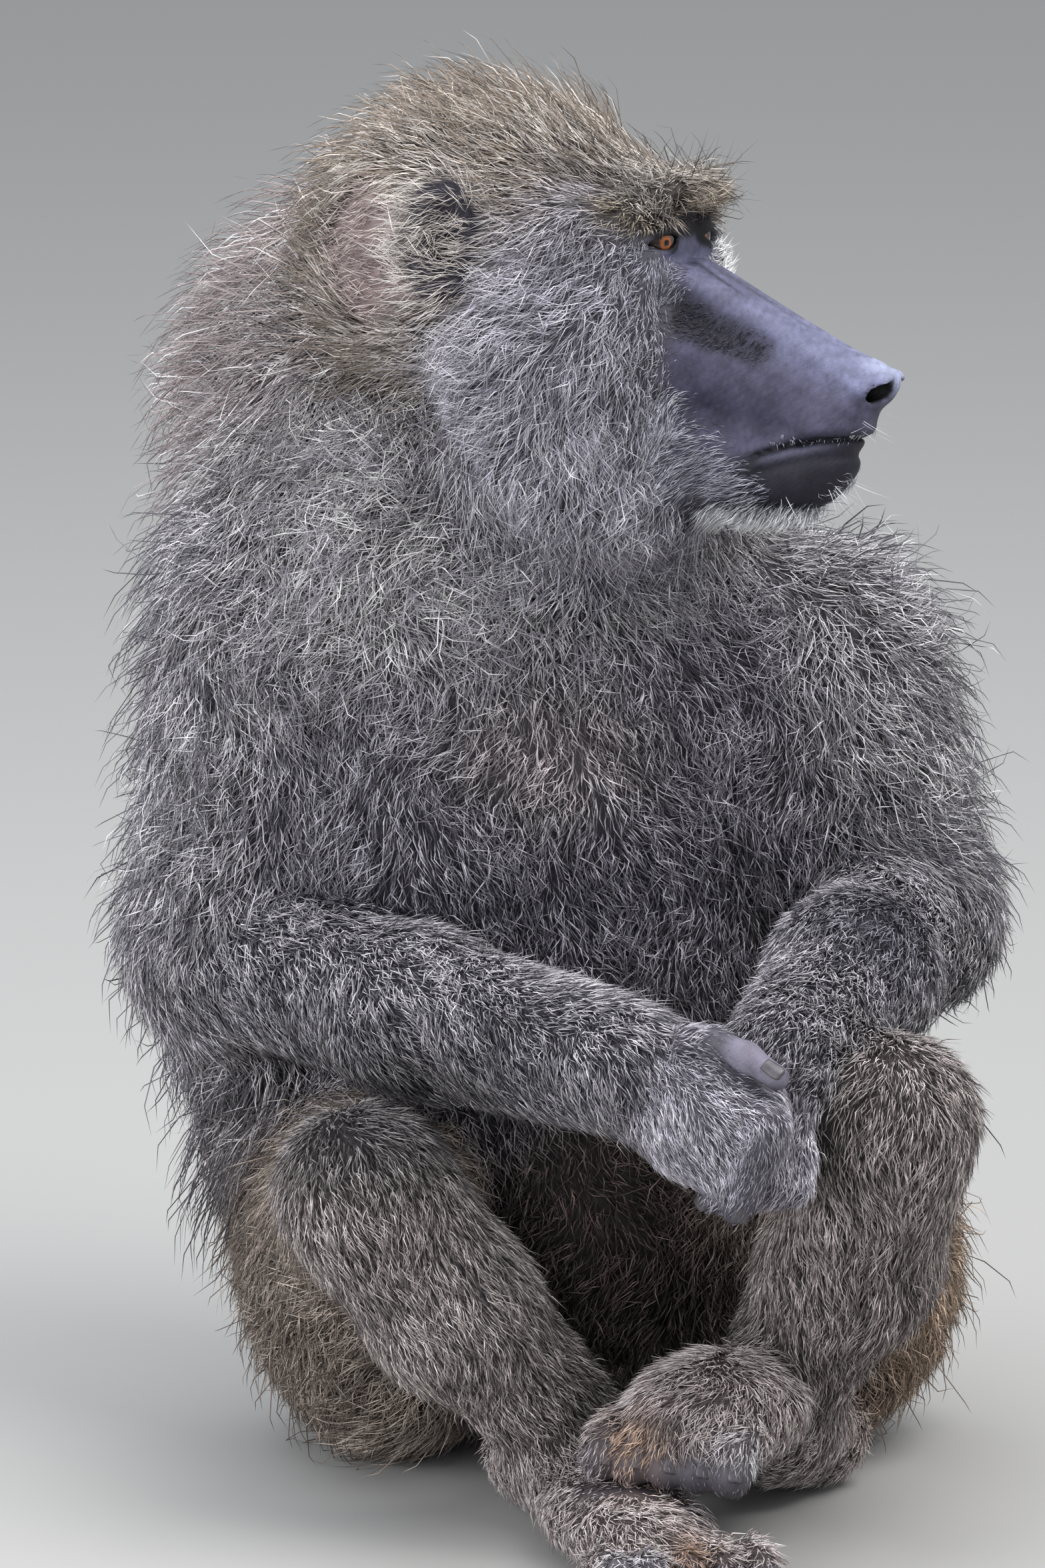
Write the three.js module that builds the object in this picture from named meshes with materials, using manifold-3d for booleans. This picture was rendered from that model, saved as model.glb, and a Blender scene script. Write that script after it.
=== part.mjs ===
// An adult male olive baboon sitting on its rump, life size, as a museum shows it.
// Millimetres, +Z up. The animal faces -Y and its own left is +X; the head is turned to its left.
// Every solid is the outer shape of the coat, out to the tips of the hair. The body is modelled as
// smooth fields of eggs and tapering limbs, meshed, and parted with thin cuts into named pieces.
import * as THREE from "three";
import Module from "manifold-3d";

const wasm = await Module();
wasm.setup();

// ---- driving sizes -------------------------------------------------------------------------
const GAP = 0.34; // space left between two pieces that touch
const GROWN = 0.45; // how far a piece is swollen before it is cut out of its neighbour
const BLEND = 34; // how softly the masses of the trunk flow into each other
const LIMB_BLEND = 16; // the same along an arm or a leg
const HAND_BLEND = 7; // the same between a palm and its digits

const CELL = {
  trunk: 37, crown: 24, face: 15, snout: 12.6, forearm: 28, hand: 10, shin: 28, foot: 16,
}; // spacing of the mesh over each region

const EYE_MID = new THREE.Vector3(28, -82, 537); // midway between the two eyes
const HEAD_YAW = 53; // degrees that the head is turned to the animal's left
const HEAD_ROLL = 6; // degrees that the left side of the head hangs lower
const EYE_APART = 42;
const EYE_RADIUS = 10.5;
const EYE_ROOM = 1.4; // free space left round the eyeball in its socket
const EYE_BACK = 7; // from the line of the lids back to the centre of the eyeball
const EYE_LIFT = 2.2; // the eyeball's centre above the line of the lids

const EAR_OUT = { right: 66, left: 74 }; // from the middle of the head; the left one is pushed out by the cape

// ---- joints of the skeleton that the masses follow -------------------------------------------
const HIP = { right: [-66, 22, 96], left: [66, 8, 98] };
const KNEE = { right: [-124, -136, 152], left: [84, -206, 186] };
const THIGH_END = { right: [-116, -106, 144], left: [84, -178, 170] }; // short of the knee, inside the shin
const ANKLE = { right: [-36, -122, 46], left: [62, -118, 52] };
const SHOULDER = { right: [-112, 24, 372], left: [106, -22, 340] };
const ELBOW = { right: [-142, 32, 226], left: [140, -46, 234] };
const WRIST = { right: [-30, -206, 216], left: [32, -214, 216] };

const TAIL_BASE = [8, 104, 62];
const TAIL_SIDES = 9;
const TAIL_STEPS = 16;
const TAIL_LENGTHS = 4; // pieces that the tail is divided into
const TAIL_JOINTS = [2, 4, 6]; // the points of its course where they meet

// ---- colours -------------------------------------------------------------------------------
const COAT = { color: 0x77716a, roughness: 0.9, metalness: 0 };
const MANTLE = { color: 0x6f6c6c, roughness: 0.92, metalness: 0 };
const OLIVE = { color: 0x6a5d48, roughness: 0.9, metalness: 0 };
const BARE = { color: 0x4a4854, roughness: 0.6, metalness: 0 };
const EYE = { color: 0x9a5a20, roughness: 0.1, metalness: 0 };

// ---- fields: negative inside, in millimetres -------------------------------------------------
/** The turned frame of the head: x forward along the muzzle, y to its left, z up. */
const headFrame = new THREE.Matrix4()
  .makeRotationZ(THREE.MathUtils.degToRad(HEAD_YAW - 90))
  .multiply(new THREE.Matrix4().makeRotationX(THREE.MathUtils.degToRad(-HEAD_ROLL)))
  .setPosition(EYE_MID);
const intoHead = headFrame.clone().invert();
const inHead = (x, y, z) => new THREE.Vector3(x, y, z).applyMatrix4(headFrame);

/** An egg with its half-sizes along its own axes; lean tips it about x, then turn about z. */
function egg([cx, cy, cz], [rx, ry, rz], { lean = 0, turn = 0 } = {}) {
  const back = new THREE.Matrix4()
    .makeRotationZ(THREE.MathUtils.degToRad(turn))
    .multiply(new THREE.Matrix4().makeRotationX(THREE.MathUtils.degToRad(lean)))
    .setPosition(cx, cy, cz)
    .invert();
  const e = back.elements;
  return (x, y, z) => {
    const px = (e[0] * x + e[4] * y + e[8] * z + e[12]) / rx;
    const py = (e[1] * x + e[5] * y + e[9] * z + e[13]) / ry;
    const pz = (e[2] * x + e[6] * y + e[10] * z + e[14]) / rz;
    const near = Math.hypot(px, py, pz);
    const slope = Math.hypot(px / rx, py / ry, pz / rz);
    return slope < 1e-9 ? -Math.min(rx, ry, rz) : (near * (near - 1)) / slope;
  };
}

/** A tapering limb from a to b with round ends. */
function limb(a, b, ra, rb) {
  const [dx, dy, dz] = [b[0] - a[0], b[1] - a[1], b[2] - a[2]];
  const long = dx * dx + dy * dy + dz * dz;
  return (x, y, z) => {
    const [px, py, pz] = [x - a[0], y - a[1], z - a[2]];
    const t = Math.min(1, Math.max(0, (px * dx + py * dy + pz * dz) / long));
    return Math.hypot(px - t * dx, py - t * dy, pz - t * dz) - (ra + t * (rb - ra));
  };
}

/** A run of limbs through points given as [x, y, z, radius]. */
function chain(points, blend = HAND_BLEND) {
  const links = points.slice(1).map((to, i) => limb(points[i], to, points[i][3], to[3]));
  return blended(blend, ...links);
}

/** Two distances joined with a soft fillet. */
function soft(a, b, blend) {
  const h = Math.max(blend - Math.abs(a - b), 0) / blend;
  return Math.min(a, b) - (h * h * blend) / 4;
}

/** Fields joined into one with soft fillets. */
function blended(blend, ...fields) {
  return (x, y, z) => fields.reduce((near, field) => soft(near, field(x, y, z), blend), 1e3);
}

/** A field with softly hollowed places. */
function hollowed(field, blend, ...holes) {
  return (x, y, z) => holes.reduce((near, hole) => -soft(-near, hole(x, y, z), blend), field(x, y, z));
}

/** A field stated in the frame of the head. */
function ofHead(field) {
  const e = intoHead.elements;
  return (x, y, z) =>
    field(
      e[0] * x + e[4] * y + e[8] * z + e[12],
      e[1] * x + e[5] * y + e[9] * z + e[13],
      e[2] * x + e[6] * y + e[10] * z + e[14],
    );
}

/** The same field on both sides of the head's middle plane. */
const bothSides = (field) => (x, y, z) => field(x, Math.abs(y), z);

// ---- meshing ---------------------------------------------------------------------------------
/** Meshes the surface of a field within a box, one vertex for each cell that it crosses. */
function net(field, { min, max }, cell) {
  const size = [0, 1, 2].map((k) => Math.ceil((max[k] - min[k]) / cell) + 1);
  const at = (i, j, k) => i + size[0] * (j + size[1] * k);
  const inBox = (x, y, z) =>
    Math.max(min[0] - x, x - max[0], min[1] - y, y - max[1], min[2] - z, z - max[2]) + cell * 1.01;
  const shape = (x, y, z) => Math.max(field(x, y, z), inBox(x, y, z));
  const value = new Float64Array(size[0] * size[1] * size[2]);
  for (let k = 0; k < size[2]; k++)
    for (let j = 0; j < size[1]; j++)
      for (let i = 0; i < size[0]; i++)
        value[at(i, j, k)] = shape(min[0] + i * cell, min[1] + j * cell, min[2] + k * cell);

  const vertices = [];
  const vertexOf = new Map();
  const corners = [0, 1, 2, 3, 4, 5, 6, 7].map((n) => [n & 1, (n >> 1) & 1, (n >> 2) & 1]);
  const edges = corners.flatMap((_, n) => [1, 2, 4].filter((bit) => !(n & bit)).map((bit) => [n, n | bit]));
  for (let k = 0; k < size[2] - 1; k++)
    for (let j = 0; j < size[1] - 1; j++)
      for (let i = 0; i < size[0] - 1; i++) {
        const v = corners.map(([a, b, c]) => value[at(i + a, j + b, k + c)]);
        const sum = [0, 0, 0];
        let crossed = 0;
        for (const [p, q] of edges) {
          if (v[p] < 0 === v[q] < 0) continue;
          const t = v[p] / (v[p] - v[q]);
          for (let axis = 0; axis < 3; axis++)
            sum[axis] += corners[p][axis] + t * (corners[q][axis] - corners[p][axis]);
          crossed++;
        }
        if (!crossed) continue;
        vertexOf.set(at(i, j, k), vertices.length);
        vertices.push([
          min[0] + (i + sum[0] / crossed) * cell,
          min[1] + (j + sum[1] / crossed) * cell,
          min[2] + (k + sum[2] / crossed) * cell,
        ]);
      }
  const onto = vertices.map((v) => settled(shape, v, cell));
  return { vertices: onto, triangles: joinedCells(value, size, at, vertexOf, onto), shape };
}

/** Moves a vertex onto the surface by a few steps down the slope of the field. */
function settled(shape, start, cell) {
  const p = [...start];
  const step = cell * 0.05;
  for (let turn = 0; turn < 4; turn++) {
    const d = shape(...p);
    const slope = slopeAt(shape, p, step);
    const steep = slope[0] ** 2 + slope[1] ** 2 + slope[2] ** 2 || 1;
    const go = THREE.MathUtils.clamp(d / steep, -cell * 0.3, cell * 0.3);
    for (let axis = 0; axis < 3; axis++) p[axis] -= go * slope[axis];
  }
  return p;
}

/** The slope of a field at a point. */
function slopeAt(shape, p, step) {
  return [0, 1, 2].map((axis) => {
    const [ahead, behind] = [[...p], [...p]];
    ahead[axis] += step;
    behind[axis] -= step;
    return (shape(...ahead) - shape(...behind)) / (2 * step);
  });
}

/** Joins the four cells round every crossed grid edge into two triangles facing out. */
function joinedCells(value, size, at, vertexOf, vertices) {
  const triangles = [];
  const far = (a, b) => Math.hypot(...[0, 1, 2].map((k) => vertices[a][k] - vertices[b][k]));
  for (let k = 0; k < size[2]; k++)
    for (let j = 0; j < size[1]; j++)
      for (let i = 0; i < size[0]; i++)
        for (const axis of [0, 1, 2]) {
          const cell = [i, j, k];
          const next = [...cell];
          next[axis]++;
          const [u, w] = [(axis + 1) % 3, (axis + 2) % 3];
          if (next[axis] >= size[axis] || !cell[u] || !cell[w]) continue;
          const inside = value[at(...cell)] < 0;
          if (inside === value[at(...next)] < 0) continue;
          const round = [[0, 0], [1, 0], [1, 1], [0, 1]].map(([du, dw]) => {
            const c = [...cell];
            c[u] -= du;
            c[w] -= dw;
            return vertexOf.get(at(...c));
          });
          if (!inside) round.reverse();
          const [a, b, c, d] = round;
          if (far(a, c) <= far(b, d)) triangles.push([a, b, c], [a, c, d]);
          else triangles.push([a, b, d], [b, c, d]);
        }
  return triangles;
}

// ---- solids ----------------------------------------------------------------------------------
/** A manifold solid from vertices and triangles. */
function solidOf(vertices, triangles) {
  const vertProperties = Float32Array.from(vertices.flat());
  const triVerts = Uint32Array.from(triangles.flat());
  return new wasm.Manifold(new wasm.Mesh({ numProp: 3, vertProperties, triVerts }));
}

/** A field's solid with its swollen twin, which neighbours are cut with. */
function modelled(field, box, cell) {
  const { vertices, triangles, shape } = net(field, box, cell);
  const swollen = vertices.map((v) => {
    const slope = slopeAt(shape, v, cell * 0.05);
    const steep = Math.hypot(...slope) || 1;
    return v.map((value, axis) => value + (GROWN * slope[axis]) / steep);
  });
  const solid = solidOf(vertices, triangles);
  return { solid, swollen: solidOf(swollen, triangles).add(solid) };
}

/** A closed tube along a course of [x, y, z, radius] points, with a round section and domed ends. */
function sweptTube(course, sides, steps) {
  const line = new THREE.CatmullRomCurve3(course.map((p) => new THREE.Vector3(...p)));
  const radiusAt = (t) => {
    const place = Math.min(t * (course.length - 1), course.length - 1.001);
    return THREE.MathUtils.lerp(course[Math.floor(place)][3], course[Math.floor(place) + 1][3], place % 1);
  };
  const vertices = [line.getPoint(0).toArray()];
  const triangles = [];
  for (let step = 0; step <= steps; step++) {
    const t = step / steps;
    const dome = Math.sqrt(1 - Math.max(0, 2 * Math.abs(t - 0.5) * 1.02 - 0.98) ** 2 / 0.0025);
    const way = line.getTangent(t);
    const across = new THREE.Vector3(way.y, -way.x, 0).normalize();
    const upward = new THREE.Vector3().crossVectors(across, way);
    for (let side = 0; side < sides; side++) {
      const angle = (side / sides) * 2 * Math.PI;
      const radius = radiusAt(t) * Math.max(dome, 0.5);
      const spot = line
        .getPoint(t)
        .addScaledVector(across, radius * Math.cos(angle))
        .addScaledVector(upward, radius * Math.sin(angle));
      vertices.push(spot.toArray());
      const here = 1 + step * sides + side;
      const beside = 1 + step * sides + ((side + 1) % sides);
      if (step === 0) triangles.push([0, here, beside]);
      else triangles.push([here - sides, beside, beside - sides], [here - sides, here, beside]);
      if (step === steps) triangles.push([here, 1 + (steps + 1) * sides, beside]);
    }
  }
  vertices.push(line.getPoint(1).toArray());
  return solidOf(vertices, triangles);
}

/** A solid from a closed three.js geometry, with the vertices it repeats merged. */
function fromGeometry(geometry, matrix = new THREE.Matrix4()) {
  const position = geometry.attributes.position;
  const known = new Map();
  const vertices = [];
  const names = [];
  for (let i = 0; i < position.count; i++) {
    const p = new THREE.Vector3().fromBufferAttribute(position, i);
    const key = p.toArray().map((value) => Math.round(value * 1e4)).join();
    if (!known.has(key)) {
      known.set(key, vertices.length);
      vertices.push(p.applyMatrix4(matrix).toArray());
    }
    names.push(known.get(key));
  }
  const triangles = [];
  for (let i = 0; i < geometry.index.count; i += 3) {
    const [a, b, c] = [0, 1, 2].map((k) => names[geometry.index.getX(i + k)]);
    if (a !== b && b !== c && c !== a) triangles.push([a, b, c]);
  }
  return solidOf(vertices, triangles);
}

/** A ball squashed to three half-sizes in the frame of the head. */
function headBall(centre, radii, { turn = 0, across = 12, down = 8 } = {}) {
  const place = headFrame
    .clone()
    .multiply(new THREE.Matrix4().makeTranslation(...centre))
    .multiply(new THREE.Matrix4().makeRotationZ(THREE.MathUtils.degToRad(turn)))
    .multiply(new THREE.Matrix4().makeScale(...radii));
  return fromGeometry(new THREE.SphereGeometry(1, across, down), place);
}

/** A block that fills everything on the side of a plane that its direction points to. */
function beyond(point, direction) {
  const reach = 1600;
  const way = new THREE.Vector3(...direction).normalize();
  const turn = new THREE.Quaternion().setFromUnitVectors(new THREE.Vector3(0, 0, 1), way);
  const centre = new THREE.Vector3(...point).addScaledVector(way, reach / 2);
  const place = new THREE.Matrix4().compose(centre, turn, new THREE.Vector3(1, 1, 1));
  return fromGeometry(new THREE.BoxGeometry(reach, reach, reach), place);
}

/** A cut through the body: ahead keeps the side that the direction points to, behind the other. */
function cutAt(point, direction) {
  const way = new THREE.Vector3(...direction).normalize();
  const shifted = (by) => new THREE.Vector3(...point).addScaledVector(way, by).toArray();
  const wayBack = way.clone().negate().toArray();
  return {
    ahead: (solid) => solid.subtract(beyond(shifted(GAP / 2), wayBack)),
    behind: (solid) => solid.subtract(beyond(shifted(-GAP / 2), way.toArray())),
  };
}

/** The same cut with its point and direction given in the frame of the head. */
function headCut(point, direction) {
  const way = new THREE.Vector3(...direction).transformDirection(headFrame);
  return cutAt(inHead(...point).toArray(), way.toArray());
}

/** Only the largest body of a solid, so that a cut leaves no crumbs. */
function largest(solid) {
  const mesh = solid.getMesh();
  const parent = Array.from({ length: mesh.vertProperties.length / mesh.numProp }, (_, i) => i);
  const root = (i) => {
    while (parent[i] !== i) i = parent[i] = parent[parent[i]];
    return i;
  };
  const triangles = [];
  for (let i = 0; i < mesh.triVerts.length; i += 3) {
    const t = [...mesh.triVerts.slice(i, i + 3)];
    triangles.push(t);
    parent[root(t[0])] = root(t[1]);
    parent[root(t[1])] = root(t[2]);
  }
  const point = (i) => [0, 1, 2].map((k) => mesh.vertProperties[i * mesh.numProp + k]);
  const volumes = new Map();
  for (const t of triangles) {
    const [a, b, c] = t.map((i) => new THREE.Vector3(...point(i)));
    volumes.set(root(t[0]), (volumes.get(root(t[0])) ?? 0) + a.dot(b.cross(c)) / 6);
  }
  const [keep] = [...volumes.entries()].sort((p, q) => q[1] - p[1])[0];
  const kept = triangles.filter((t) => root(t[0]) === keep);
  const renamed = new Map();
  const vertices = [];
  for (const i of kept.flat())
    if (!renamed.has(i)) {
      renamed.set(i, vertices.length);
      vertices.push(point(i));
    }
  return { vertices, triangles: kept.map((t) => t.map((i) => renamed.get(i))) };
}

// ---- the body --------------------------------------------------------------------------------
/** The trunk with its cape of long hair, the upper arms and the thighs, as one soft field. */
const trunkField = blended(
  BLEND,
  egg([0, 26, 98], [104, 100, 104]), // rump
  egg([2, 8, 190], [112, 108, 104]), // belly
  egg([-4, 16, 300], [144, 118, 124]), // chest under the cape
  egg([-26, 24, 396], [124, 106, 112], { turn: 15 }), // shoulders
  egg([-78, 66, 446], [70, 66, 84], { turn: 15 }), // nape, thick with hair
  egg([-58, 34, 500], [62, 56, 62], { turn: 15 }), // hair behind the crown
  egg([-16, 74, 372], [112, 70, 104], { turn: 8 }), // the cape over the back
  limb(SHOULDER.right, ELBOW.right, 66, 48),
  limb(SHOULDER.left, ELBOW.left, 60, 42),
  egg([-130, 50, 212], [42, 56, 62]), // cape hair that hangs behind the right elbow
  limb(HIP.right, THIGH_END.right, 70, 36),
  limb(HIP.left, THIGH_END.left, 76, 36),
  egg([98, -22, 81], [74, 80, 84]), // long hair of the left haunch
  egg([-80, 6, 76], [58, 84, 78]), // long hair of the right haunch
);

/** The head's coat, in its own frame: crown, nape, brow and cheek ruffs. */
const coatOfHead = blended(
  22,
  egg([-78, 0, 8], [70, 56, 52]),
  egg([-104, 0, -8], [58, 64, 62]),
  egg([-4, 0, 22], [20, 36, 12]),
  bothSides(egg([-42, 34, -44], [56, 40, 60])), // cheek ruffs
  bothSides(egg([-22, 38, -6], [27, 20, 26])), // temples
  egg([-34, 0, -96], [60, 56, 44]),
);

/** The bare muzzle, in the head's frame: side wall, the ridges beside the nose, lips and chin. */
const bareMuzzle = blended(
  9,
  limb([0, 0, -42], [72, 0, -60], 34, 19),
  bothSides(limb([4, 17, -14], [80, 9, -50], 9, 8)),
  limb([10, 0, -12], [84, 0, -52], 8, 9),
  egg([88, 0, -54], [12, 11, 9]),
  egg([68, 0, -69], [19, 21, 13]),
  limb([18, 0, -89], [60, 0, -93], 26, 19),
);

const headField = ofHead(
  hollowed(
    blended(11, coatOfHead, bareMuzzle),
    6,
    bothSides(egg([30, 36, -36], [22, 9, 12])), // the dark hollows under the ridges
  ),
);

const body = blended(30, trunkField, headField);

/** A forearm with its hand: points run from the elbow to the knuckles. */
const armField = (run, palm, digits) =>
  blended(LIMB_BLEND, chain(run, LIMB_BLEND), blended(HAND_BLEND, palm, ...digits.map((d) => chain(d))));

/** Four fingers side by side from a first knuckle, each bent once. */
function fingers(knuckle, apart, bend, tip, radius) {
  return [0, 1, 2, 3].map((i) => {
    const root = knuckle.map((value, k) => value + i * apart[k]);
    const plus = (by) => root.map((value, k) => value + by[k]);
    return [[...root, radius + 1.5], [...plus(bend), radius], [...plus(tip), radius - 1]];
  });
}

const rightArm = armField(
  [[...ELBOW.right, 42], [-88, -88, 216, 36], [...WRIST.right, 30]],
  egg([-6, -244, 203], [40, 21, 32], { turn: -52 }),
  [
    ...fingers([8, -262, 215], [-3, 2, -9.5], [16, -3, -4], [22, 9, -9], 7.5),
    [[-18, -248, 226, 9], [0, -270, 232, 7.5], [15, -282, 225, 7]], // the thumb
  ],
);

const leftArm = armField(
  [[...ELBOW.left, 38], [90, -128, 230, 35], [...WRIST.left, 27]],
  egg([22, -228, 194], [22, 20, 28], { turn: 20 }),
  [
    ...fingers([35, -238, 182], [-10, 0, 0], [-3, -6, -10], [-7, 4, -17], 7.5),
    [[20, -232, 212, 8], [4, -240, 218, 7], [-8, -246, 212, 6.5]], // the thumb
  ],
);

/** A shin with its foot. */
const legField = (run, foot, toes) =>
  blended(LIMB_BLEND, chain(run, LIMB_BLEND), blended(10, ...foot, ...toes.map((d) => chain(d))));

/** Five toes side by side, each bent down once. */
function fiveToes(root, apart, bend, tip, radius) {
  return [0, 1, 2, 3, 4].map((i) => {
    const base = root.map((value, k) => value + i * apart[k]);
    const plus = (by) => base.map((value, k) => value + by[k]);
    return [[...base, radius + 1.5], [...plus(bend), radius], [...plus(tip), radius - 1]];
  });
}

const rightLeg = legField(
  [[...KNEE.right, 40], [-88, -138, 102, 36], [...ANKLE.right, 28]],
  [limb([-38, -94, 23], [-34, -140, 24], 24, 22), egg([-27, -196, 19], [33, 64, 21], { turn: 5 })],
  fiveToes([-50, -244, 16], [14.5, -2, 0.5], [0, -22, 2], [1, -38, -6], 9.5),
);

const leftLeg = legField(
  [[...KNEE.left, 39], [80, -162, 116, 37], [...ANKLE.left, 30]],
  [limb([84, -96, 24], [56, -128, 34], 25, 24), egg([18, -174, 58], [38, 52, 26], { turn: -42 })],
  fiveToes([20, -216, 56], [-11, 10, 0], [-9, -11, -2], [-12, -15, -12], 9.5),
);

/** The course of the tail: down from the rump, then along the floor in one slow bend. */
const TAIL_COURSE = [
  [...TAIL_BASE, 30], [14, 150, 28, 24], [26, 200, 17, 20], [52, 260, 15, 18], [92, 315, 14, 17],
  [140, 360, 13, 16], [192, 395, 12, 15], [236, 420, 12, 14],
];

// ---- cuts ------------------------------------------------------------------------------------
/** What lies beyond two planes at once, a little larger or smaller than the planes say. */
function corner(first, second, by) {
  const [a, b] = [first, second].map(({ point, way }) => {
    const out = new THREE.Vector3(...way).normalize();
    return beyond(new THREE.Vector3(...point).addScaledVector(out, -by).toArray(), out.toArray());
  });
  return a.intersect(b);
}

/** A corner in the frame of the head. */
const headPlane = (point, way) => ({
  point: inHead(...point).toArray(),
  way: new THREE.Vector3(...way).transformDirection(headFrame).toArray(),
});
const NAPE_PLANE = headPlane([-92, 0, 0], [0.8, 0, 0.6]);
const THROAT_PLANE = headPlane([0, 0, -124], [0.1, 0, 1]);
const headBlock = (by) => corner(NAPE_PLANE, THROAT_PLANE, by);
const armBlock = (side, by) =>
  corner(
    { point: [side === "right" ? -98 : 98, 0, 300], way: [side === "right" ? -1 : 1, 0, 0.1] },
    { point: [0, 25, 172], way: [0, side === "right" ? 0.3 : 0.36, 1] },
    by,
  );

const FACE = headCut([-26, 0, 0], [1, 0, 0]);
const SNOUT = headCut([24, 0, 0], [1, 0, 0]);
const MOUTH = headCut([48, 0, -78], [0.1, 0, 1]);
const COLLAR = cutAt([0, 0, 418], [0, 0.1, 1]);
const WAIST = cutAt([0, 0, 214], [0, 0.1, 1]);
const GROIN = { right: cutAt([-50, 0, 90], [-1, -0.4, 0]), left: cutAt([50, 0, 90], [1, -0.4, 0]) };
const WRIST_CUT = {
  right: cutAt(WRIST.right, [0.55, -0.82, -0.12]),
  left: cutAt(WRIST.left, [-0.4, -0.72, -0.5]),
};
const ANKLE_CUT = {
  right: cutAt([-38, -122, 42], [0.1, -0.2, -1]),
  left: cutAt([62, -118, 52], [-0.2, -0.2, -1]),
};
const onFloor = (solid) => solid.subtract(beyond([0, 0, 0], [0, 0, -1]));

// ---- the pieces ------------------------------------------------------------------------------
const group = new THREE.Group();
const SIDES = ["right", "left"];

/** Adds one finished piece to the group. */
function add(name, solid, finish) {
  const { vertices, triangles } = largest(solid);
  const geometry = new THREE.BufferGeometry();
  geometry.setAttribute("position", new THREE.Float32BufferAttribute(vertices.flat(), 3));
  geometry.setIndex(triangles.flat());
  geometry.computeVertexNormals();
  const mesh = new THREE.Mesh(geometry, new THREE.MeshStandardMaterial(finish));
  mesh.name = name;
  group.add(mesh);
}

/** A solid cut clear of its neighbours, with a gap. */
const clearOf = (solid, ...neighbours) =>
  neighbours.reduce((left, near) => left.subtract(near.swollen), solid);

// Trunk, upper arms and thighs, parted out of one solid
const whole = modelled(body, { min: [-260, -320, -40], max: [260, 220, 660] }, CELL.trunk);
const shell = onFloor(whole.solid).subtract(headBlock(GAP / 2));
add("neck", COLLAR.ahead(shell), MANTLE);
const underCollar = COLLAR.behind(shell);
for (const side of SIDES) add(`upper_arm_${side}`, underCollar.intersect(armBlock(side, -GAP / 2)), MANTLE);
const torso = SIDES.reduce((left, side) => left.subtract(armBlock(side, GAP / 2)), underCollar);
add("chest", WAIST.ahead(torso), MANTLE);
const hips = WAIST.behind(torso);
add("rump", GROIN.left.behind(GROIN.right.behind(hips)), OLIVE);
for (const side of SIDES) add(`thigh_${side}`, GROIN[side].ahead(hips), OLIVE);

// Head: a coarse mesh for the crown and finer ones for the face, all from the same field
const signOf = (side) => (side === "right" ? -1 : 1);
const eyeBall = (side, radius, facets) =>
  headBall([-EYE_BACK, signOf(side) * (EYE_APART / 2), EYE_LIFT], [radius, radius, radius], facets);
const EYE_FACETS = { across: 12, down: 8 };
const SOCKET_FACETS = { across: 10, down: 6 };
const socket = (side) =>
  headBall([12, signOf(side) * (EYE_APART / 2 + 1.6), 2.4], [18, 13, 8.5], SOCKET_FACETS);
const socketed = (solid, side) =>
  solid.subtract(eyeBall(side, EYE_RADIUS + EYE_ROOM, SOCKET_FACETS)).subtract(socket(side));
const withoutEyes = (solid) => SIDES.reduce(socketed, solid);
const headSolid = (min, max, cell) => modelled(body, { min, max }, cell);
const crown = headSolid([-190, -200, 370], [150, 130, 640], CELL.crown);
const face = headSolid([-70, -190, 390], [140, 20, 610], CELL.face);
const snout = headSolid([10, -190, 390], [140, -60, 560], CELL.snout);
const ofHeadBlock = (solid) => solid.intersect(headBlock(-GAP / 2));
add("head", withoutEyes(FACE.behind(ofHeadBlock(crown.solid))), MANTLE);
add("face", withoutEyes(SNOUT.behind(FACE.ahead(ofHeadBlock(face.solid)))), BARE);
const front = SNOUT.ahead(ofHeadBlock(snout.solid));
const nostrils = SIDES.map((side) =>
  headBall([98, signOf(side) * 8, -58], [6, 4.5, 5], { across: 10, down: 6 }),
);
add("muzzle", nostrils.reduce((left, hole) => left.subtract(hole), MOUTH.ahead(front)), BARE);
add("lower_jaw", MOUTH.behind(front), BARE);
for (const side of SIDES) add(`eye_${side}`, eyeBall(side, EYE_RADIUS, EYE_FACETS), EYE);

// Ears: cupped discs on the sides of the head
const ear = (side) => {
  const sign = signOf(side);
  const out = EAR_OUT[side];
  const disc = headBall([-88, sign * out, 0], [7, 20, 27], { turn: sign * 50, across: 12, down: 8 });
  const cup = headBall([-80, sign * (out + 6), 0], [7, 14, 20], { turn: sign * 50 });
  return disc.subtract(cup);
};
for (const side of SIDES) add(`ear_${side}`, clearOf(ear(side), whole, crown), BARE);

// Arms: the right hand lies over the left. A limb's far end has a finer mesh than its near end.
const limbOf = (field, box, near, far) => ({
  near: modelled(field, box, near),
  far: modelled(field, box, far),
});
const armBox = { min: [-200, -320, 110], max: [210, 100, 290] };
const arm = {
  left: limbOf(leftArm, armBox, CELL.forearm, CELL.hand),
  right: limbOf(rightArm, armBox, CELL.forearm, CELL.hand),
};
for (const side of ["left", "right"]) {
  const [near, far] = side === "left" ? [[], []] : [[arm.left.near], [arm.left.near, arm.left.far]];
  const forearm = WRIST_CUT[side].behind(arm[side].near.solid);
  add(`forearm_${side}`, clearOf(forearm, whole, ...near), COAT);
  add(`hand_${side}`, clearOf(WRIST_CUT[side].ahead(arm[side].far.solid), whole, ...far), COAT);
}

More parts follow.
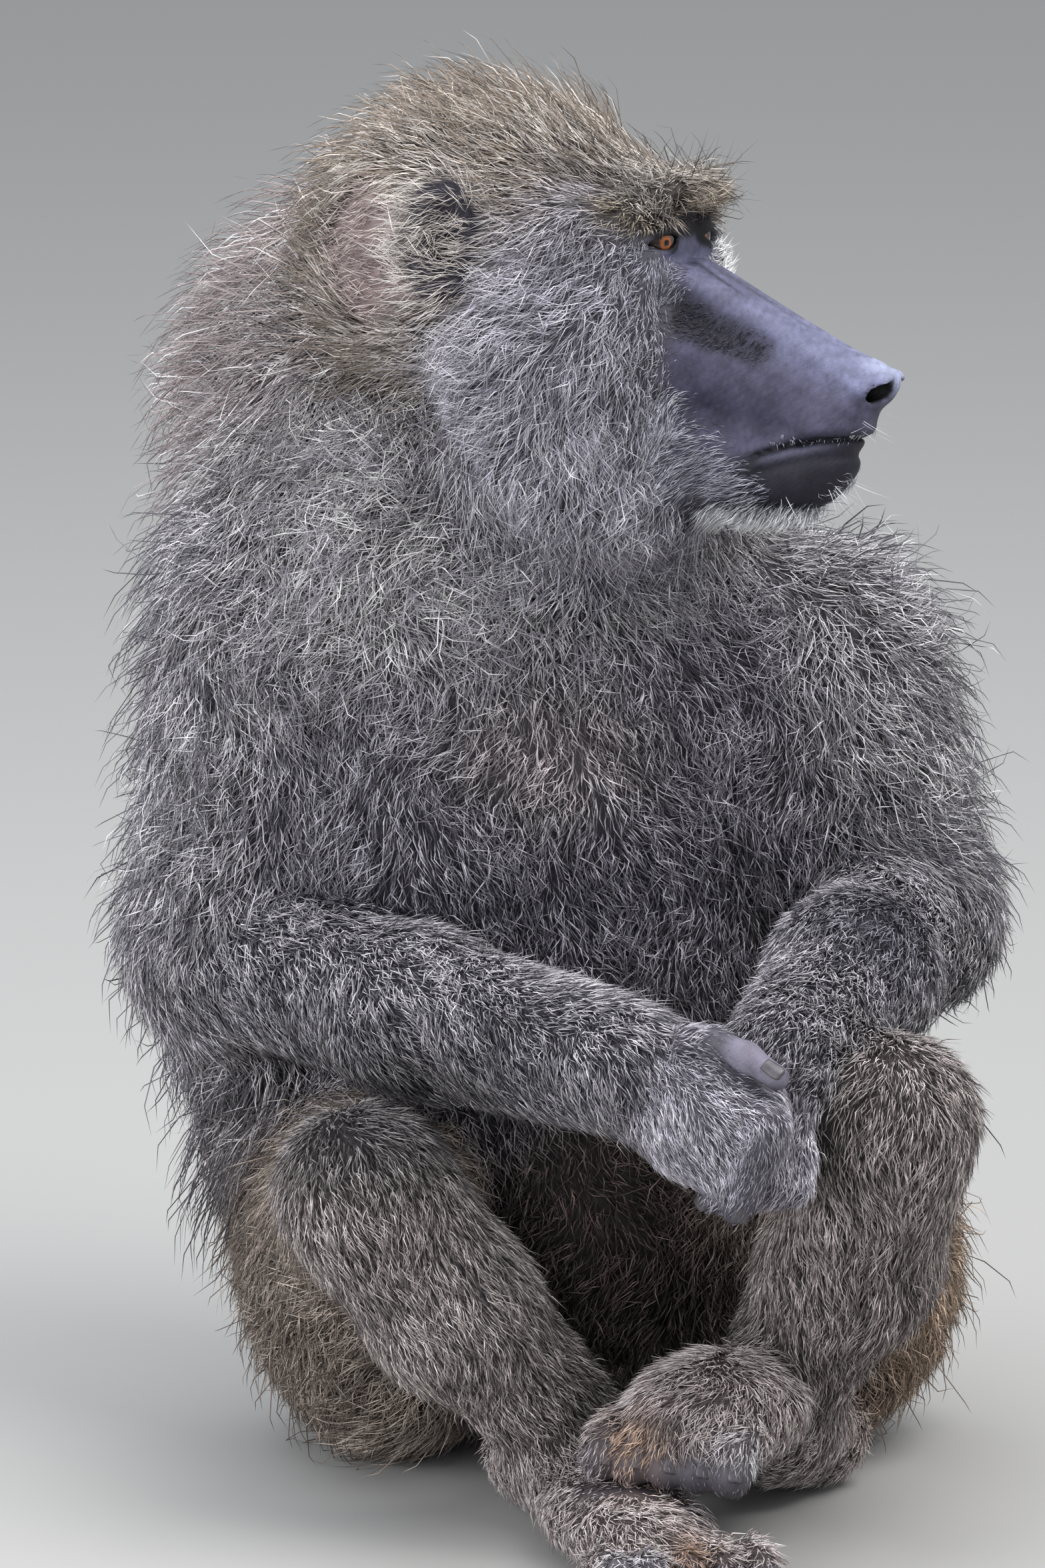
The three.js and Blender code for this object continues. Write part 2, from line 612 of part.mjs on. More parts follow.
// Legs: the left foot lies over the right
const legBox = { min: [-200, -330, -30], max: [160, -20, 240] };
const leg = {
  right: limbOf(rightLeg, legBox, CELL.shin, CELL.foot),
  left: limbOf(leftLeg, legBox, CELL.shin, CELL.foot),
};
const above = [whole, arm.left.near, arm.left.far, arm.right.near, arm.right.far];
for (const side of SIDES) {
  const [near, far] = side === "right" ? [[], []] : [[leg.right.near], [leg.right.near, leg.right.far]];
  const shin = ANKLE_CUT[side].behind(leg[side].near.solid);
  add(`shin_${side}`, onFloor(clearOf(shin, ...above, ...near)), COAT);
  add(`foot_${side}`, onFloor(clearOf(ANKLE_CUT[side].ahead(leg[side].far.solid), whole, ...far)), COAT);
}

// Tail: down to the floor behind the rump, in lengths that meet on cuts across its course
const tail = onFloor(clearOf(sweptTube(TAIL_COURSE, TAIL_SIDES, TAIL_STEPS), whole));
for (let length = 0; length < TAIL_LENGTHS; length++) {
  const cut = (joint) => {
    const near = TAIL_COURSE[joint];
    const way = [0, 1, 2].map((k) => TAIL_COURSE[joint + 1][k] - TAIL_COURSE[joint - 1][k]);
    return cutAt(near.slice(0, 3), way);
  };
  let piece = tail;
  if (length > 0) piece = cut(TAIL_JOINTS[length - 1]).ahead(piece);
  if (length < TAIL_LENGTHS - 1) piece = cut(TAIL_JOINTS[length]).behind(piece);
  add(`tail_${length + 1}`, piece, OLIVE);
}

// The origin goes on the floor under the middle of the box round the whole animal
const middle = new THREE.Box3().setFromObject(group).getCenter(new THREE.Vector3());
for (const mesh of group.children) mesh.geometry.translate(-middle.x, -middle.y, 0);

export default group;
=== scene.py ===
"""A seated adult male olive baboon, life size: one skin, eyes, nails and a coat of solid tufts.

The body is worked out in millimetres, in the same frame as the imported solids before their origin
was moved, and carried into the frame by the place of the eyes. Every tuft is a closed spindle or
a closed blade.
"""
import logging
import math
from collections.abc import Callable, Iterable, Sequence
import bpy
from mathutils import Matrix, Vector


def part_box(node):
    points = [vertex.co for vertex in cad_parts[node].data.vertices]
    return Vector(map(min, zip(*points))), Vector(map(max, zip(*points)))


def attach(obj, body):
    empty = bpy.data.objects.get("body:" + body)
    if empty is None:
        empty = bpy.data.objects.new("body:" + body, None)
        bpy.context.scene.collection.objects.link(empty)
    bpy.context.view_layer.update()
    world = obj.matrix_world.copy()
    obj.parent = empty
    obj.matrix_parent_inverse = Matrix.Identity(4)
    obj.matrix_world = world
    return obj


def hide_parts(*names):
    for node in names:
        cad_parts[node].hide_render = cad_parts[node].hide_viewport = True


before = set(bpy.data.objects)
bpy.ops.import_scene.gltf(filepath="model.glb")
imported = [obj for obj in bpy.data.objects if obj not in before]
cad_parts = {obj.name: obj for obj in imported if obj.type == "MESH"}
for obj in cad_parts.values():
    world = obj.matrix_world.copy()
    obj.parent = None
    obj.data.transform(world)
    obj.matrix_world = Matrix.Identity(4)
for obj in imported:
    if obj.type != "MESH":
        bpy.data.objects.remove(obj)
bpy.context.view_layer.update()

from concurrent.futures import ThreadPoolExecutor
from dataclasses import dataclass, field
from enum import Enum

import bpy
import numpy as np
from mathutils import Vector

LOG = logging.getLogger("baboon")
MM = 0.001
SEED = 1187

Vec3 = tuple[float, float, float]
Points = np.ndarray
Colour = tuple[float, float, float]


# ---- numbers of the skeleton -----------------------------------------------------------------
# the head: where it is, how it is turned, and where the eyes and ears sit in it
EYE_MID: Vec3 = (28.0, -82.0, 537.0)
HEAD_YAW = 53.0
HEAD_ROLL = 6.0
EYE_APART = 42.0
EYE_RADIUS = 10.5
EYE_BACK = 7.0
EYE_LIFT = 2.2
EAR_OUT = {-1: 64.0, 1: 72.0}

# the joints of the limbs
ELBOW_R, ELBOW_L = (-142.0, 32.0, 226.0), (140.0, -46.0, 234.0)
WRIST_R, WRIST_L = (-30.0, -206.0, 216.0), (32.0, -214.0, 216.0)
KNEE_R, KNEE_L = (-124.0, -136.0, 152.0), (84.0, -206.0, 186.0)
SHIN_R, SHIN_L = (-88, -138, 102), (80, -162, 116)
ANKLE_R, ANKLE_L = (-36.0, -122.0, 46.0), (62.0, -118.0, 52.0)
TAIL_ROOT = (8, 104, 62)

# the way towards the camera, for where the coat may be coarser
CAMERA_WAY: Vec3 = (-0.2532, -0.9448, 0.2079)


class Part(Enum):
    """The coat pieces, one for each region of the body."""

    CROWN = "coat_crown"
    CHEEKS = "coat_cheeks"
    NAPE = "coat_nape"
    CAPE = "coat_cape"
    CHEST = "coat_chest"
    UPPER_ARMS = "coat_upper_arms"
    FOREARMS = "coat_forearms"
    HANDS = "coat_hands"
    HAUNCHES = "coat_haunches"
    SHINS = "coat_shins"
    FEET = "coat_feet"
    TAIL = "coat_tail"
    FACE = "coat_face"


# ---- the coat's kinds ------------------------------------------------------------------------
@dataclass(frozen=True)
class Hair:
    """How the hair of one kind grows; lengths are in millimetres.

    Args:
        length: from the skin to the tip.
        depth: how far the coat's outside stands off the skin.
        width: of one tuft at its thickest.
        density: tufts in a square millimetre of skin.
        under: short tufts in a square millimetre of skin.
        guard: long stray hairs in a square millimetre of skin.
        stray: how far single tufts wander from the lie of the coat.
        erect: 0 lies along the body, 1 stands as it grows.
        clump: how strongly neighbours draw together into a lock.
        root: colour at the skin.
        band: colour half way.
        tip: colour of the pale tips.
        dark: share of tufts that stay dark.
        black: share of tufts with a black tip.
    """

    length: float
    depth: float
    width: float
    density: float
    under: float
    guard: float
    stray: float
    erect: float
    clump: float
    root: Colour
    band: Colour
    tip: Colour
    dark: float
    black: float


BLACK: Colour = (0.014, 0.012, 0.014)
SLATE: Colour = (0.085, 0.080, 0.098)
UMBER: Colour = (0.090, 0.072, 0.070)

CROWN = Hair(
    22, 8, 0.72, 0.40, 0.28, 0.070, 0.34, 0.50, 0.50,
    (0.045, 0.036, 0.034), (0.39, 0.32, 0.26), (0.74, 0.68, 0.635), 0.40, 0.13,
)
BROW = Hair(
    16, 5.5, 0.58, 0.58, 0.38, 0.050, 0.42, 0.75, 0.50,
    (0.045, 0.038, 0.036), (0.33, 0.28, 0.225), (0.76, 0.70, 0.65), 0.42, 0.12,
)
WHORL = Hair(
    13, 7, 0.50, 1.00, 0.60, 0.070, 1.30, 0.85, 0.30,
    (0.036, 0.032, 0.032), (0.26, 0.235, 0.205), (0.70, 0.655, 0.61), 0.48, 0.18,
)
BROW_EDGE = Hair(
    10, 6, 0.50, 0.80, 0.40, 0.030, 0.36, 0.80, 0.50,
    (0.026, 0.022, 0.022), (0.19, 0.157, 0.125), (0.64, 0.55, 0.45), 0.48, 0.10,
)
TEMPLE = Hair(
    14, 5, 0.55, 0.52, 0.42, 0.0, 0.60, 0.35, 0.34,
    (0.052, 0.049, 0.061), (0.175, 0.167, 0.197), (0.50, 0.49, 0.56), 0.34, 0.0,
)
CHEEK = Hair(
    18, 7, 0.55, 0.48, 0.38, 0.0, 0.48, 0.32, 0.42,
    (0.052, 0.049, 0.063), (0.18, 0.175, 0.215), (0.50, 0.495, 0.58), 0.30, 0.0,
)
RUFF = Hair(
    22, 9, 0.60, 0.42, 0.28, 0.006, 0.50, 0.40, 0.50,
    (0.060, 0.056, 0.070), (0.275, 0.265, 0.315), (0.76, 0.73, 0.80), 0.30, 0.0,
)
NAPE = Hair(
    31, 12, 0.80, 0.28, 0.18, 0.075, 0.36, 0.65, 0.55,
    (0.080, 0.064, 0.064), (0.52, 0.44, 0.435), (0.95, 0.90, 0.91), 0.30, 0.12,
)
CAPE = Hair(
    25, 12, 0.78, 0.31, 0.18, 0.036, 0.75, 0.44, 0.50,
    (0.060, 0.055, 0.064), (0.41, 0.385, 0.425), (0.86, 0.84, 0.83), 0.33, 0.06,
)
CURTAIN = Hair(
    36, 20, 0.85, 0.26, 0.16, 0.030, 0.30, 0.55, 0.75,
    (0.030, 0.027, 0.033), (0.11, 0.10, 0.115), (0.46, 0.43, 0.44), 0.48, 0.15,
)
CHEST = Hair(
    19, 9, 0.75, 0.24, 0.16, 0.004, 0.52, 0.28, 0.42,
    (0.036, 0.033, 0.041), (0.130, 0.121, 0.145), (0.54, 0.515, 0.57), 0.42, 0.0,
)
UPPER_ARM = Hair(
    25, 12, 0.76, 0.30, 0.18, 0.024, 0.58, 0.38, 0.52,
    (0.036, 0.033, 0.041), (0.25, 0.24, 0.27), (0.95, 0.91, 0.94), 0.40, 0.05,
)
FOREARM = Hair(
    16, 6, 0.70, 0.42, 0.24, 0.0, 0.32, 0.22, 0.38,
    (0.026, 0.024, 0.032), (0.155, 0.149, 0.172), (0.64, 0.615, 0.645), 0.44, 0.03,
)
HAND = Hair(
    12, 3, 0.58, 0.62, 0.30, 0.0, 0.28, 0.22, 0.34,
    (0.06, 0.055, 0.070), (0.35, 0.325, 0.385), (0.84, 0.81, 0.89), 0.30, 0.0,
)
HAUNCH = Hair(
    22, 10, 0.78, 0.24, 0.14, 0.010, 0.58, 0.38, 0.55,
    (0.055, 0.043, 0.040), (0.205, 0.160, 0.132), (0.54, 0.46, 0.395), 0.34, 0.0,
)
SHIN = Hair(
    15, 6, 0.68, 0.40, 0.22, 0.0, 0.26, 0.20, 0.42,
    (0.038, 0.031, 0.032), (0.195, 0.168, 0.163), (0.70, 0.63, 0.61), 0.40, 0.0,
)
FOOT = Hair(
    15, 5, 0.60, 0.46, 0.26, 0.0, 0.34, 0.28, 0.55,
    (0.055, 0.043, 0.046), (0.31, 0.25, 0.235), (0.80, 0.72, 0.71), 0.33, 0.0,
)
GROIN = Hair(
    20, 8, 0.85, 0.16, 0.12, 0.0, 0.50, 0.25, 0.45,
    (0.022, 0.018, 0.018), (0.062, 0.048, 0.046), (0.20, 0.155, 0.14), 0.45, 0.0,
)
RUMP = Hair(
    20, 9, 0.90, 0.17, 0.11, 0.004, 0.38, 0.25, 0.45,
    UMBER, (0.25, 0.215, 0.20), (0.58, 0.52, 0.47), 0.34, 0.0,
)
TAIL = Hair(
    13, 4.5, 0.80, 0.26, 0.12, 0.0, 0.24, 0.25, 0.40,
    (0.07, 0.06, 0.06), (0.24, 0.21, 0.20), (0.56, 0.50, 0.46), 0.36, 0.0,
)
BARE = Hair(
    3, 0.4, 0.3, 0.0, 0.0, 0.0, 0.2, 0.1, 0.1,
    SLATE, SLATE, (0.2, 0.2, 0.26), 0.5, 0.0,
)

# the short hair of the face
FRINGE = Hair(
    14.5, 12, 0.50, 0.90, 0.30, 0.0, 0.18, 0.96, 0.30,
    (0.10, 0.10, 0.13), (0.50, 0.50, 0.585), (0.94, 0.94, 0.95), 0.12, 0.0,
)
DOWN = Hair(
    8.0, 1.0, 0.42, 0.80, 0.25, 0.0, 0.22, 0.22, 0.24,
    (0.07, 0.068, 0.086), (0.22, 0.215, 0.262), (0.60, 0.60, 0.70), 0.32, 0.0,
)
JOWL = Hair(
    13.5, 1.8, 0.40, 0.62, 0.12, 0.0, 0.20, 0.22, 0.34,
    (0.06, 0.058, 0.076), (0.26, 0.255, 0.315), (0.74, 0.74, 0.84), 0.34, 0.0,
)
LIP = Hair(
    4.0, 0.8, 0.30, 0.42, 0.0, 0.0, 0.20, 0.55, 0.05,
    (0.10, 0.10, 0.13), (0.25, 0.25, 0.30), (0.58, 0.58, 0.64), 0.20, 0.0,
)
CHIN = Hair(
    7.0, 1.5, 0.34, 0.10, 0.0, 0.0, 0.50, 0.80, 0.10,
    (0.08, 0.08, 0.10), (0.26, 0.26, 0.31), (0.60, 0.60, 0.66), 0.3, 0.0,
)
SOOT = Hair(
    4.2, 0.8, 0.40, 0.55, 0.20, 0.0, 0.45, 0.40, 0.10,
    (0.012, 0.011, 0.016), (0.022, 0.021, 0.029), (0.09, 0.088, 0.12), 0.5, 0.0,
)
FLUFF = Hair(
    11.0, 4.0, 0.48, 0.70, 0.30, 0.0, 0.35, 0.60, 0.30,
    (0.30, 0.30, 0.34), (0.66, 0.66, 0.71), (0.95, 0.95, 0.95), 0.05, 0.0,
)
VEIL = Hair(
    20, 4.0, 0.52, 0.34, 0.05, 0.0, 0.30, 0.92, 0.65,
    (0.10, 0.09, 0.095), (0.36, 0.325, 0.315), (0.78, 0.72, 0.67), 0.18, 0.03,
)
THIN = Hair(
    15, 4.0, 0.55, 0.13, 0.10, 0.012, 0.40, 0.30, 0.45,
    (0.25, 0.185, 0.180), (0.38, 0.30, 0.285), (0.70, 0.61, 0.57), 0.25, 0.0,
)


# ---- fields ----------------------------------------------------------------------------------
def turned_about_z(degrees: float) -> np.ndarray:
    """The matrix of a turn about the upright axis."""
    c, s = math.cos(math.radians(degrees)), math.sin(math.radians(degrees))
    return np.array([[c, -s, 0.0], [s, c, 0.0], [0.0, 0.0, 1.0]])


def turned_about_x(degrees: float) -> np.ndarray:
    """The matrix of a turn about the first axis."""
    c, s = math.cos(math.radians(degrees)), math.sin(math.radians(degrees))
    return np.array([[1.0, 0.0, 0.0], [0.0, c, -s], [0.0, s, c]])


HEAD_TURN = turned_about_z(HEAD_YAW - 90) @ turned_about_x(-HEAD_ROLL)


def unit(v: Points, least: float = 1e-6) -> Points:
    """The vectors at unit length; none is divided by less than the least."""
    return v / np.maximum(np.linalg.norm(v, axis=-1), least)[..., None]


def mixed(under: np.ndarray, over: object, share: np.ndarray) -> np.ndarray:
    """One value laid over another by a share from 0 to 1."""
    return under * (1 - share) + np.asarray(over) * share


def within(p: Points, centre: Vec3, radii: Vec3) -> np.ndarray:
    """How far each place is from a centre, as a share of the way to an ellipsoid round it."""
    return np.linalg.norm((p - np.array(centre)) / np.array(radii), axis=1)


def into_head(p: Points) -> Points:
    """Body points in the frame of the head: x forward, y to its left, z up."""
    return (p - np.array(EYE_MID)) @ HEAD_TURN


def out_of_head(h: Points) -> Points:
    """Points of the head's frame in the body's frame."""
    return np.asarray(h, float) @ HEAD_TURN.T + np.array(EYE_MID)


def folded(h: Points) -> Points:
    """Places of the head's frame with its right side folded over onto the left."""
    return np.column_stack([h[:, 0], np.abs(h[:, 1]), h[:, 2]])


@dataclass(frozen=True)
class Egg:
    """An ellipsoid with its half-sizes, turned about the upright axis."""

    centre: Vec3
    radii: Vec3
    turn: float = 0.0

    def distance(self, p: Points, inset: float = 0.0) -> np.ndarray:
        """Signed distance of the points, with the egg made smaller by the inset."""
        radii = np.maximum(np.array(self.radii) - inset, 2.0)
        q = p - np.array(self.centre)
        if self.turn:
            q = q @ turned_about_z(self.turn)
        q = q / radii
        near = np.sqrt((q * q).sum(1))
        slope = np.sqrt(((q / radii) ** 2).sum(1))
        return near * (near - 1.0) / np.maximum(slope, 1e-9)


@dataclass(frozen=True)
class Limb:
    """A tapering limb with round ends."""

    start: Vec3
    end: Vec3
    start_radius: float
    end_radius: float

    def distance(self, p: Points, inset: float = 0.0) -> np.ndarray:
        """Signed distance of the points, with the limb made thinner by the inset."""
        a, b = np.array(self.start), np.array(self.end)
        way = b - a
        q = p - a
        t = np.clip(q @ way / (way @ way), 0.0, 1.0)
        off = q - t[:, None] * way
        radius = self.start_radius + t * (self.end_radius - self.start_radius)
        return np.sqrt((off * off).sum(1)) - np.maximum(radius - inset, 2.0)


@dataclass(frozen=True)
class Mass:
    """One mass of the body with the coat that grows on it.

    Args:
        part: the coat piece that its tufts belong to.
        shape: the outside of the coat.
        hair: the kind of hair.
        flow: where the hair points.
        fan: how much it also points away from the mass's upright middle line.
        head: the mass is stated in the head's frame.
        twin: the mass is repeated on the head's other side.
    """

    part: Part
    shape: Egg | Limb
    hair: Hair
    flow: Vec3
    fan: float = 0.0
    head: bool = False
    twin: bool = False

    def local(self, p: Points, h: Points) -> Points:
        """The points in the frame that the mass is stated in."""
        if not self.head:
            return p
        return folded(h) if self.twin else h

    def distance(self, p: Points, h: Points, skin: bool) -> np.ndarray:
        """Signed distance to the mass, of the coat's outside or of the skin."""
        return self.shape.distance(self.local(p, h), self.hair.depth if skin else 0.0)

    def lie(self, p: Points, h: Points) -> Points:
        """The way the hair points at each place, in the body's frame."""
        way = np.tile(np.array(self.flow, float), (len(p), 1))
        if self.fan:
            centre = self.shape.centre if isinstance(self.shape, Egg) else self.shape.start
            out = self.local(p, h) - np.array(centre)
            out[:, 2] = 0.0
            way += self.fan * out / np.maximum(np.linalg.norm(out, axis=1), 1e-6)[:, None]
        if self.twin:
            way[:, 1] *= np.where(h[:, 1] < 0, -1.0, 1.0)
        if self.head:
            way = way @ HEAD_TURN.T
        return unit(way, 1e-9)


def soft(a: np.ndarray, b: np.ndarray, blend: float | np.ndarray) -> np.ndarray:
    """Two distances joined with a soft fillet."""
    h = np.maximum(blend - np.abs(a - b), 0.0) / blend
    return np.minimum(a, b) - h * h * blend * 0.25


def softly_cut(a: np.ndarray, hole: np.ndarray, blend: float) -> np.ndarray:
    """A distance with a hole cut out of it, its edge rounded."""
    return -soft(-a, hole, blend)


def swell(x: np.ndarray, centre: float, spread: float) -> np.ndarray:
    """A bell of height one round a value."""
    return np.exp(-(((x - centre) / spread) ** 2))


def ramp(x: np.ndarray, low: float, high: float) -> np.ndarray:
    """A smooth step from 0 at low to 1 at high."""
    t = np.clip((x - low) / (high - low), 0.0, 1.0)
    return t * t * (3.0 - 2.0 * t)


def in_blocks(work: Callable[[Points], np.ndarray], p: Points, size: int = 12000) -> np.ndarray:
    """Does the work on blocks of points side by side and joins the results in order."""
    blocks = np.array_split(p, max(1, math.ceil(len(p) / size)))
    with ThreadPoolExecutor(4) as pool:
        return np.concatenate(list(pool.map(work, blocks)))


def joined(masses: Iterable[Mass], p: Points, h: Points, skin: bool, blend: float) -> np.ndarray:
    """The soft union of several masses."""
    d = np.full(len(p), 1e3)
    for mass in masses:
        d = soft(d, mass.distance(p, h, skin), blend)
    return d


def run(part: Part, hair: Hair, course: Sequence[tuple[float, ...]], droop: float = 0.0) -> list[Mass]:
    """Limbs through points given as (x, y, z, radius), with hair that points along them.

    Args:
        part: the coat piece.
        hair: the kind of hair.
        course: the points.
        droop: how much the hair also hangs down.

    Returns:
        One mass for each stretch.
    """
    masses = []
    for a, b in zip(course, course[1:]):
        way = np.array(b[:3]) - np.array(a[:3])
        way = way / np.linalg.norm(way) + np.array([0.0, 0.0, -droop])
        masses.append(Mass(part, Limb(a[:3], b[:3], a[3], b[3]), hair, tuple(way)))
    return masses


# ---- the body's masses -----------------------------------------------------------------------
NOSTRIL = Limb((97.6, 6.6, -53.2), (91.5, 9.8, -56.8), 2.4, 4.1)


@dataclass
class Anatomy:
    """All masses of the body, with the soft joins between them.

    The blends are the widths of the fillets between masses, in millimetres.
    """

    trunk_blend: float = 34.0
    head_blend: float = 22.0
    muzzle_blend: float = 7.5
    brow_blend: float = 11.0
    hollow_blend: float = 7.0
    limb_blend: float = 16.0
    hand_blend: float = 7.0
    digit_blend: float = 5.0
    thumb_blend: float = 2.0
    bone_blend: float = 4.0
    neck_blend: float = 30.0
    joint_blend: float = 22.0
    joint_reach: float = 60.0
    touch_blend: float = 2.5
    lid_thickness: float = 1.9
    opening_width: float = 8.6
    opening_shift: float = 1.3
    upper_lid: float = 2.6
    lower_lid: float = 3.0
    gaze_out: float = 16.0
    finger_haired: float = 0.62
    toe_haired: float = 0.85
    ear_turn: float = 50.0
    lowest: float = 0.25
    trunk: list[Mass] = field(init=False)
    crown: list[Mass] = field(init=False)
    muzzle: list[Mass] = field(init=False)
    limbs: dict[str, list[Mass]] = field(init=False)
    digits: dict[str, list[Mass]] = field(init=False)
    thumbs: dict[str, list[Mass]] = field(init=False)

    def __post_init__(self) -> None:
        """Fills the lists of masses."""
        self.trunk = self.trunk_masses()
        self.crown = self.crown_masses()
        self.muzzle = self.muzzle_masses()
        self.limbs = self.limb_masses()
        self.digits = self.digit_masses()
        self.thumbs = self.thumb_masses()

    @staticmethod
    def trunk_masses() -> list[Mass]:
        """Rump, belly, chest, cape, upper arms, thighs and haunches."""
        arms, down = Part.UPPER_ARMS, (0.0, -0.1, -1.0)
        return [
            Mass(Part.HAUNCHES, Egg((0, 26, 98), (104, 100, 104)), RUMP, (0, 0.5, -1.0), fan=0.3),
            Mass(Part.CHEST, Egg((2, 8, 190), (112, 108, 104)), CHEST, down, fan=0.15),
            Mass(Part.CHEST, Egg((-4, 16, 300), (144, 118, 124)), CHEST, down, fan=0.25),
            Mass(Part.CAPE, Egg((-26, 24, 396), (124, 106, 112), 15), CAPE, (-0.1, 0.1, -1.0), fan=0.7),
            Mass(Part.NAPE, Egg((-78, 66, 446), (70, 66, 84), 15), NAPE, (-0.8, 0.6, -0.35), fan=0.3),
            Mass(Part.NAPE, Egg((-58, 34, 500), (62, 56, 62), 15), NAPE, (-0.85, 0.6, 0.10)),
            Mass(Part.CAPE, Egg((-16, 74, 372), (112, 70, 104), 8), CAPE, (-0.15, 0.45, -0.9), fan=0.3),
            Mass(arms, Limb((-112, 24, 372), ELBOW_R, 66, 48), UPPER_ARM, (-0.35, 0.05, -1.0), fan=0.2),
            Mass(arms, Limb((106, -22, 340), ELBOW_L, 60, 42), UPPER_ARM, (0.45, 0.1, -1.0), fan=0.2),
            Mass(arms, Egg((-130, 50, 212), (42, 56, 62)), UPPER_ARM, (-0.3, 0.2, -1.0)),
            Mass(arms, Egg((-118, 44, 158), (42, 50, 58)), CURTAIN, (-0.15, 0.1, -1.0)),
            Mass(Part.HAUNCHES, Limb((-66, 22, 96), (-116, -106, 144), 70, 36), HAUNCH, (-0.35, 0.30, -0.9)),
            Mass(Part.HAUNCHES, Limb((66, 8, 98), (84, -178, 170), 76, 36), HAUNCH, (0.35, 0.45, -0.85)),
            Mass(Part.HAUNCHES, Egg((98, -22, 81), (74, 80, 84)), HAUNCH, (0.35, 0.25, -1.0)),
            Mass(Part.HAUNCHES, Egg((-80, 6, 76), (58, 84, 78)), HAUNCH, (-0.35, 0.15, -1.0)),
            Mass(Part.CHEST, Egg((-6, -86, 120), (44, 24, 66)), GROIN, (0.0, -0.3, -1.0)),
        ]

    @staticmethod
    def crown_masses() -> list[Mass]:
        """The haired part of the head: skull, brow, ruff, cheeks, temples and throat."""
        cheeks = Part.CHEEKS
        return [
            Mass(Part.CROWN, Egg((-78, 0, 8), (70, 56, 52)), CROWN, (-1.0, 0.0, 0.10), head=True),
            Mass(Part.CROWN, Egg((-104, 0, -8), (58, 64, 62)), CROWN, (-1.0, 0.0, -0.05), head=True),
            Mass(Part.CROWN, Egg((-4, 0, 22), (20, 36, 12)), BROW, (0.45, 0.0, 1.0), fan=0.15, head=True),
            Mass(cheeks, Egg((-42, 34, -44), (56, 40, 60)), RUFF, (-0.7, 0.25, -0.75), head=True, twin=True),
            Mass(cheeks, Egg((-12, 30, -62), (20, 28, 34)), CHEEK, (-0.02, 0.1, -1.0), head=True, twin=True),
            Mass(cheeks, Egg((-22, 38, -8), (27, 20, 26)), TEMPLE, (-0.8, 0.1, -0.5), head=True, twin=True),
            Mass(cheeks, Egg((-34, 0, -96), (60, 56, 44)), RUFF, (0.0, 0.0, -1.0), head=True),
        ]

    @staticmethod
    def muzzle_masses() -> list[Mass]:
        """The bare face: muzzle, its ridges and top, nose, upper lip, jaw, chin and the ridge of the brow."""
        face, back = Part.FACE, (-1.0, 0.0, 0.0)
        return [
            Mass(face, Limb((0, 0, -42), (71, 0, -60.5), 33, 18.5), BARE, back, head=True),
            Mass(face, Limb((5, 16, -14.5), (80, 8, -51.5), 8, 7), BARE, back, head=True, twin=True),
            Mass(face, Limb((10, 0, -13), (84, 0, -52.5), 8, 8), BARE, back, head=True),
            Mass(face, Egg((86.5, 0, -53.5), (11.8, 10.8, 8.8)), BARE, back, head=True),
            Mass(face, Egg((67.5, 0, -69), (18.5, 20, 12.5)), BARE, back, head=True),
            Mass(face, Limb((18, 0, -86), (60, 0, -90), 24, 17.5), BARE, back, head=True),
            Mass(face, Egg((70, 0, -87), (12, 14, 9)), BARE, back, head=True),
            Mass(face, Limb((-12, 0, 2), (-12, 26, 0), 15, 12), BARE, back, head=True, twin=True),
        ]

    def limb_masses(self) -> dict[str, list[Mass]]:
        """Forearms with the hands, shins with the feet, and the tail."""
        feet = Part.FEET
        return {
            "right_arm": run(Part.FOREARMS, FOREARM, [(*ELBOW_R, 42), (-88, -88, 216, 36), (*WRIST_R, 30)], 0.7)
            + [Mass(Part.HANDS, Egg((-6, -244, 203), (40, 21, 32), -52), HAND, (0.6, -0.5, -0.6))],
            "left_arm": run(Part.FOREARMS, FOREARM, [(*ELBOW_L, 38), (90, -128, 230, 35), (*WRIST_L, 27)], 0.35)
            + [Mass(Part.HANDS, Egg((22, -228, 194), (22, 20, 28), 20), HAND, (-0.3, -0.5, -0.8))],
            "right_leg": [Mass(Part.SHINS, Limb(KNEE_R, SHIN_R, 40, 36), SHIN, (0.25, -0.35, -1.1))]
            + run(Part.SHINS, SHIN, [(*SHIN_R, 36), (*ANKLE_R, 28)], 0.2)
            + run(feet, FOOT, [(-38, -94, 23, 24), (-34, -140, 24, 22)], 0.3)
            + [Mass(feet, Egg((-27, -196, 19), (33, 64, 21), 5), FOOT, (0.05, -1.0, -0.35), fan=0.3)],
            "left_leg": [Mass(Part.SHINS, Limb(KNEE_L, SHIN_L, 39, 37), SHIN, (-0.1, -0.4, -1.1))]
            + run(Part.SHINS, SHIN, [(*SHIN_L, 37), (*ANKLE_L, 30)], 0.2)
            + run(feet, FOOT, [(84, -96, 24, 25), (56, -128, 34, 24)], 0.3)
            + [Mass(feet, Egg((18, -174, 58), (38, 52, 26), -42), FOOT, (-0.35, -0.6, -0.6), fan=0.5)],
            "tail": run(Part.TAIL, TAIL, [
                (*TAIL_ROOT, 30), (14, 150, 28, 24), (26, 200, 17, 20), (52, 260, 15, 18),
                (92, 315, 14, 17), (140, 360, 13, 16), (192, 395, 12, 15), (232, 418, 12, 13),
            ]),
        }

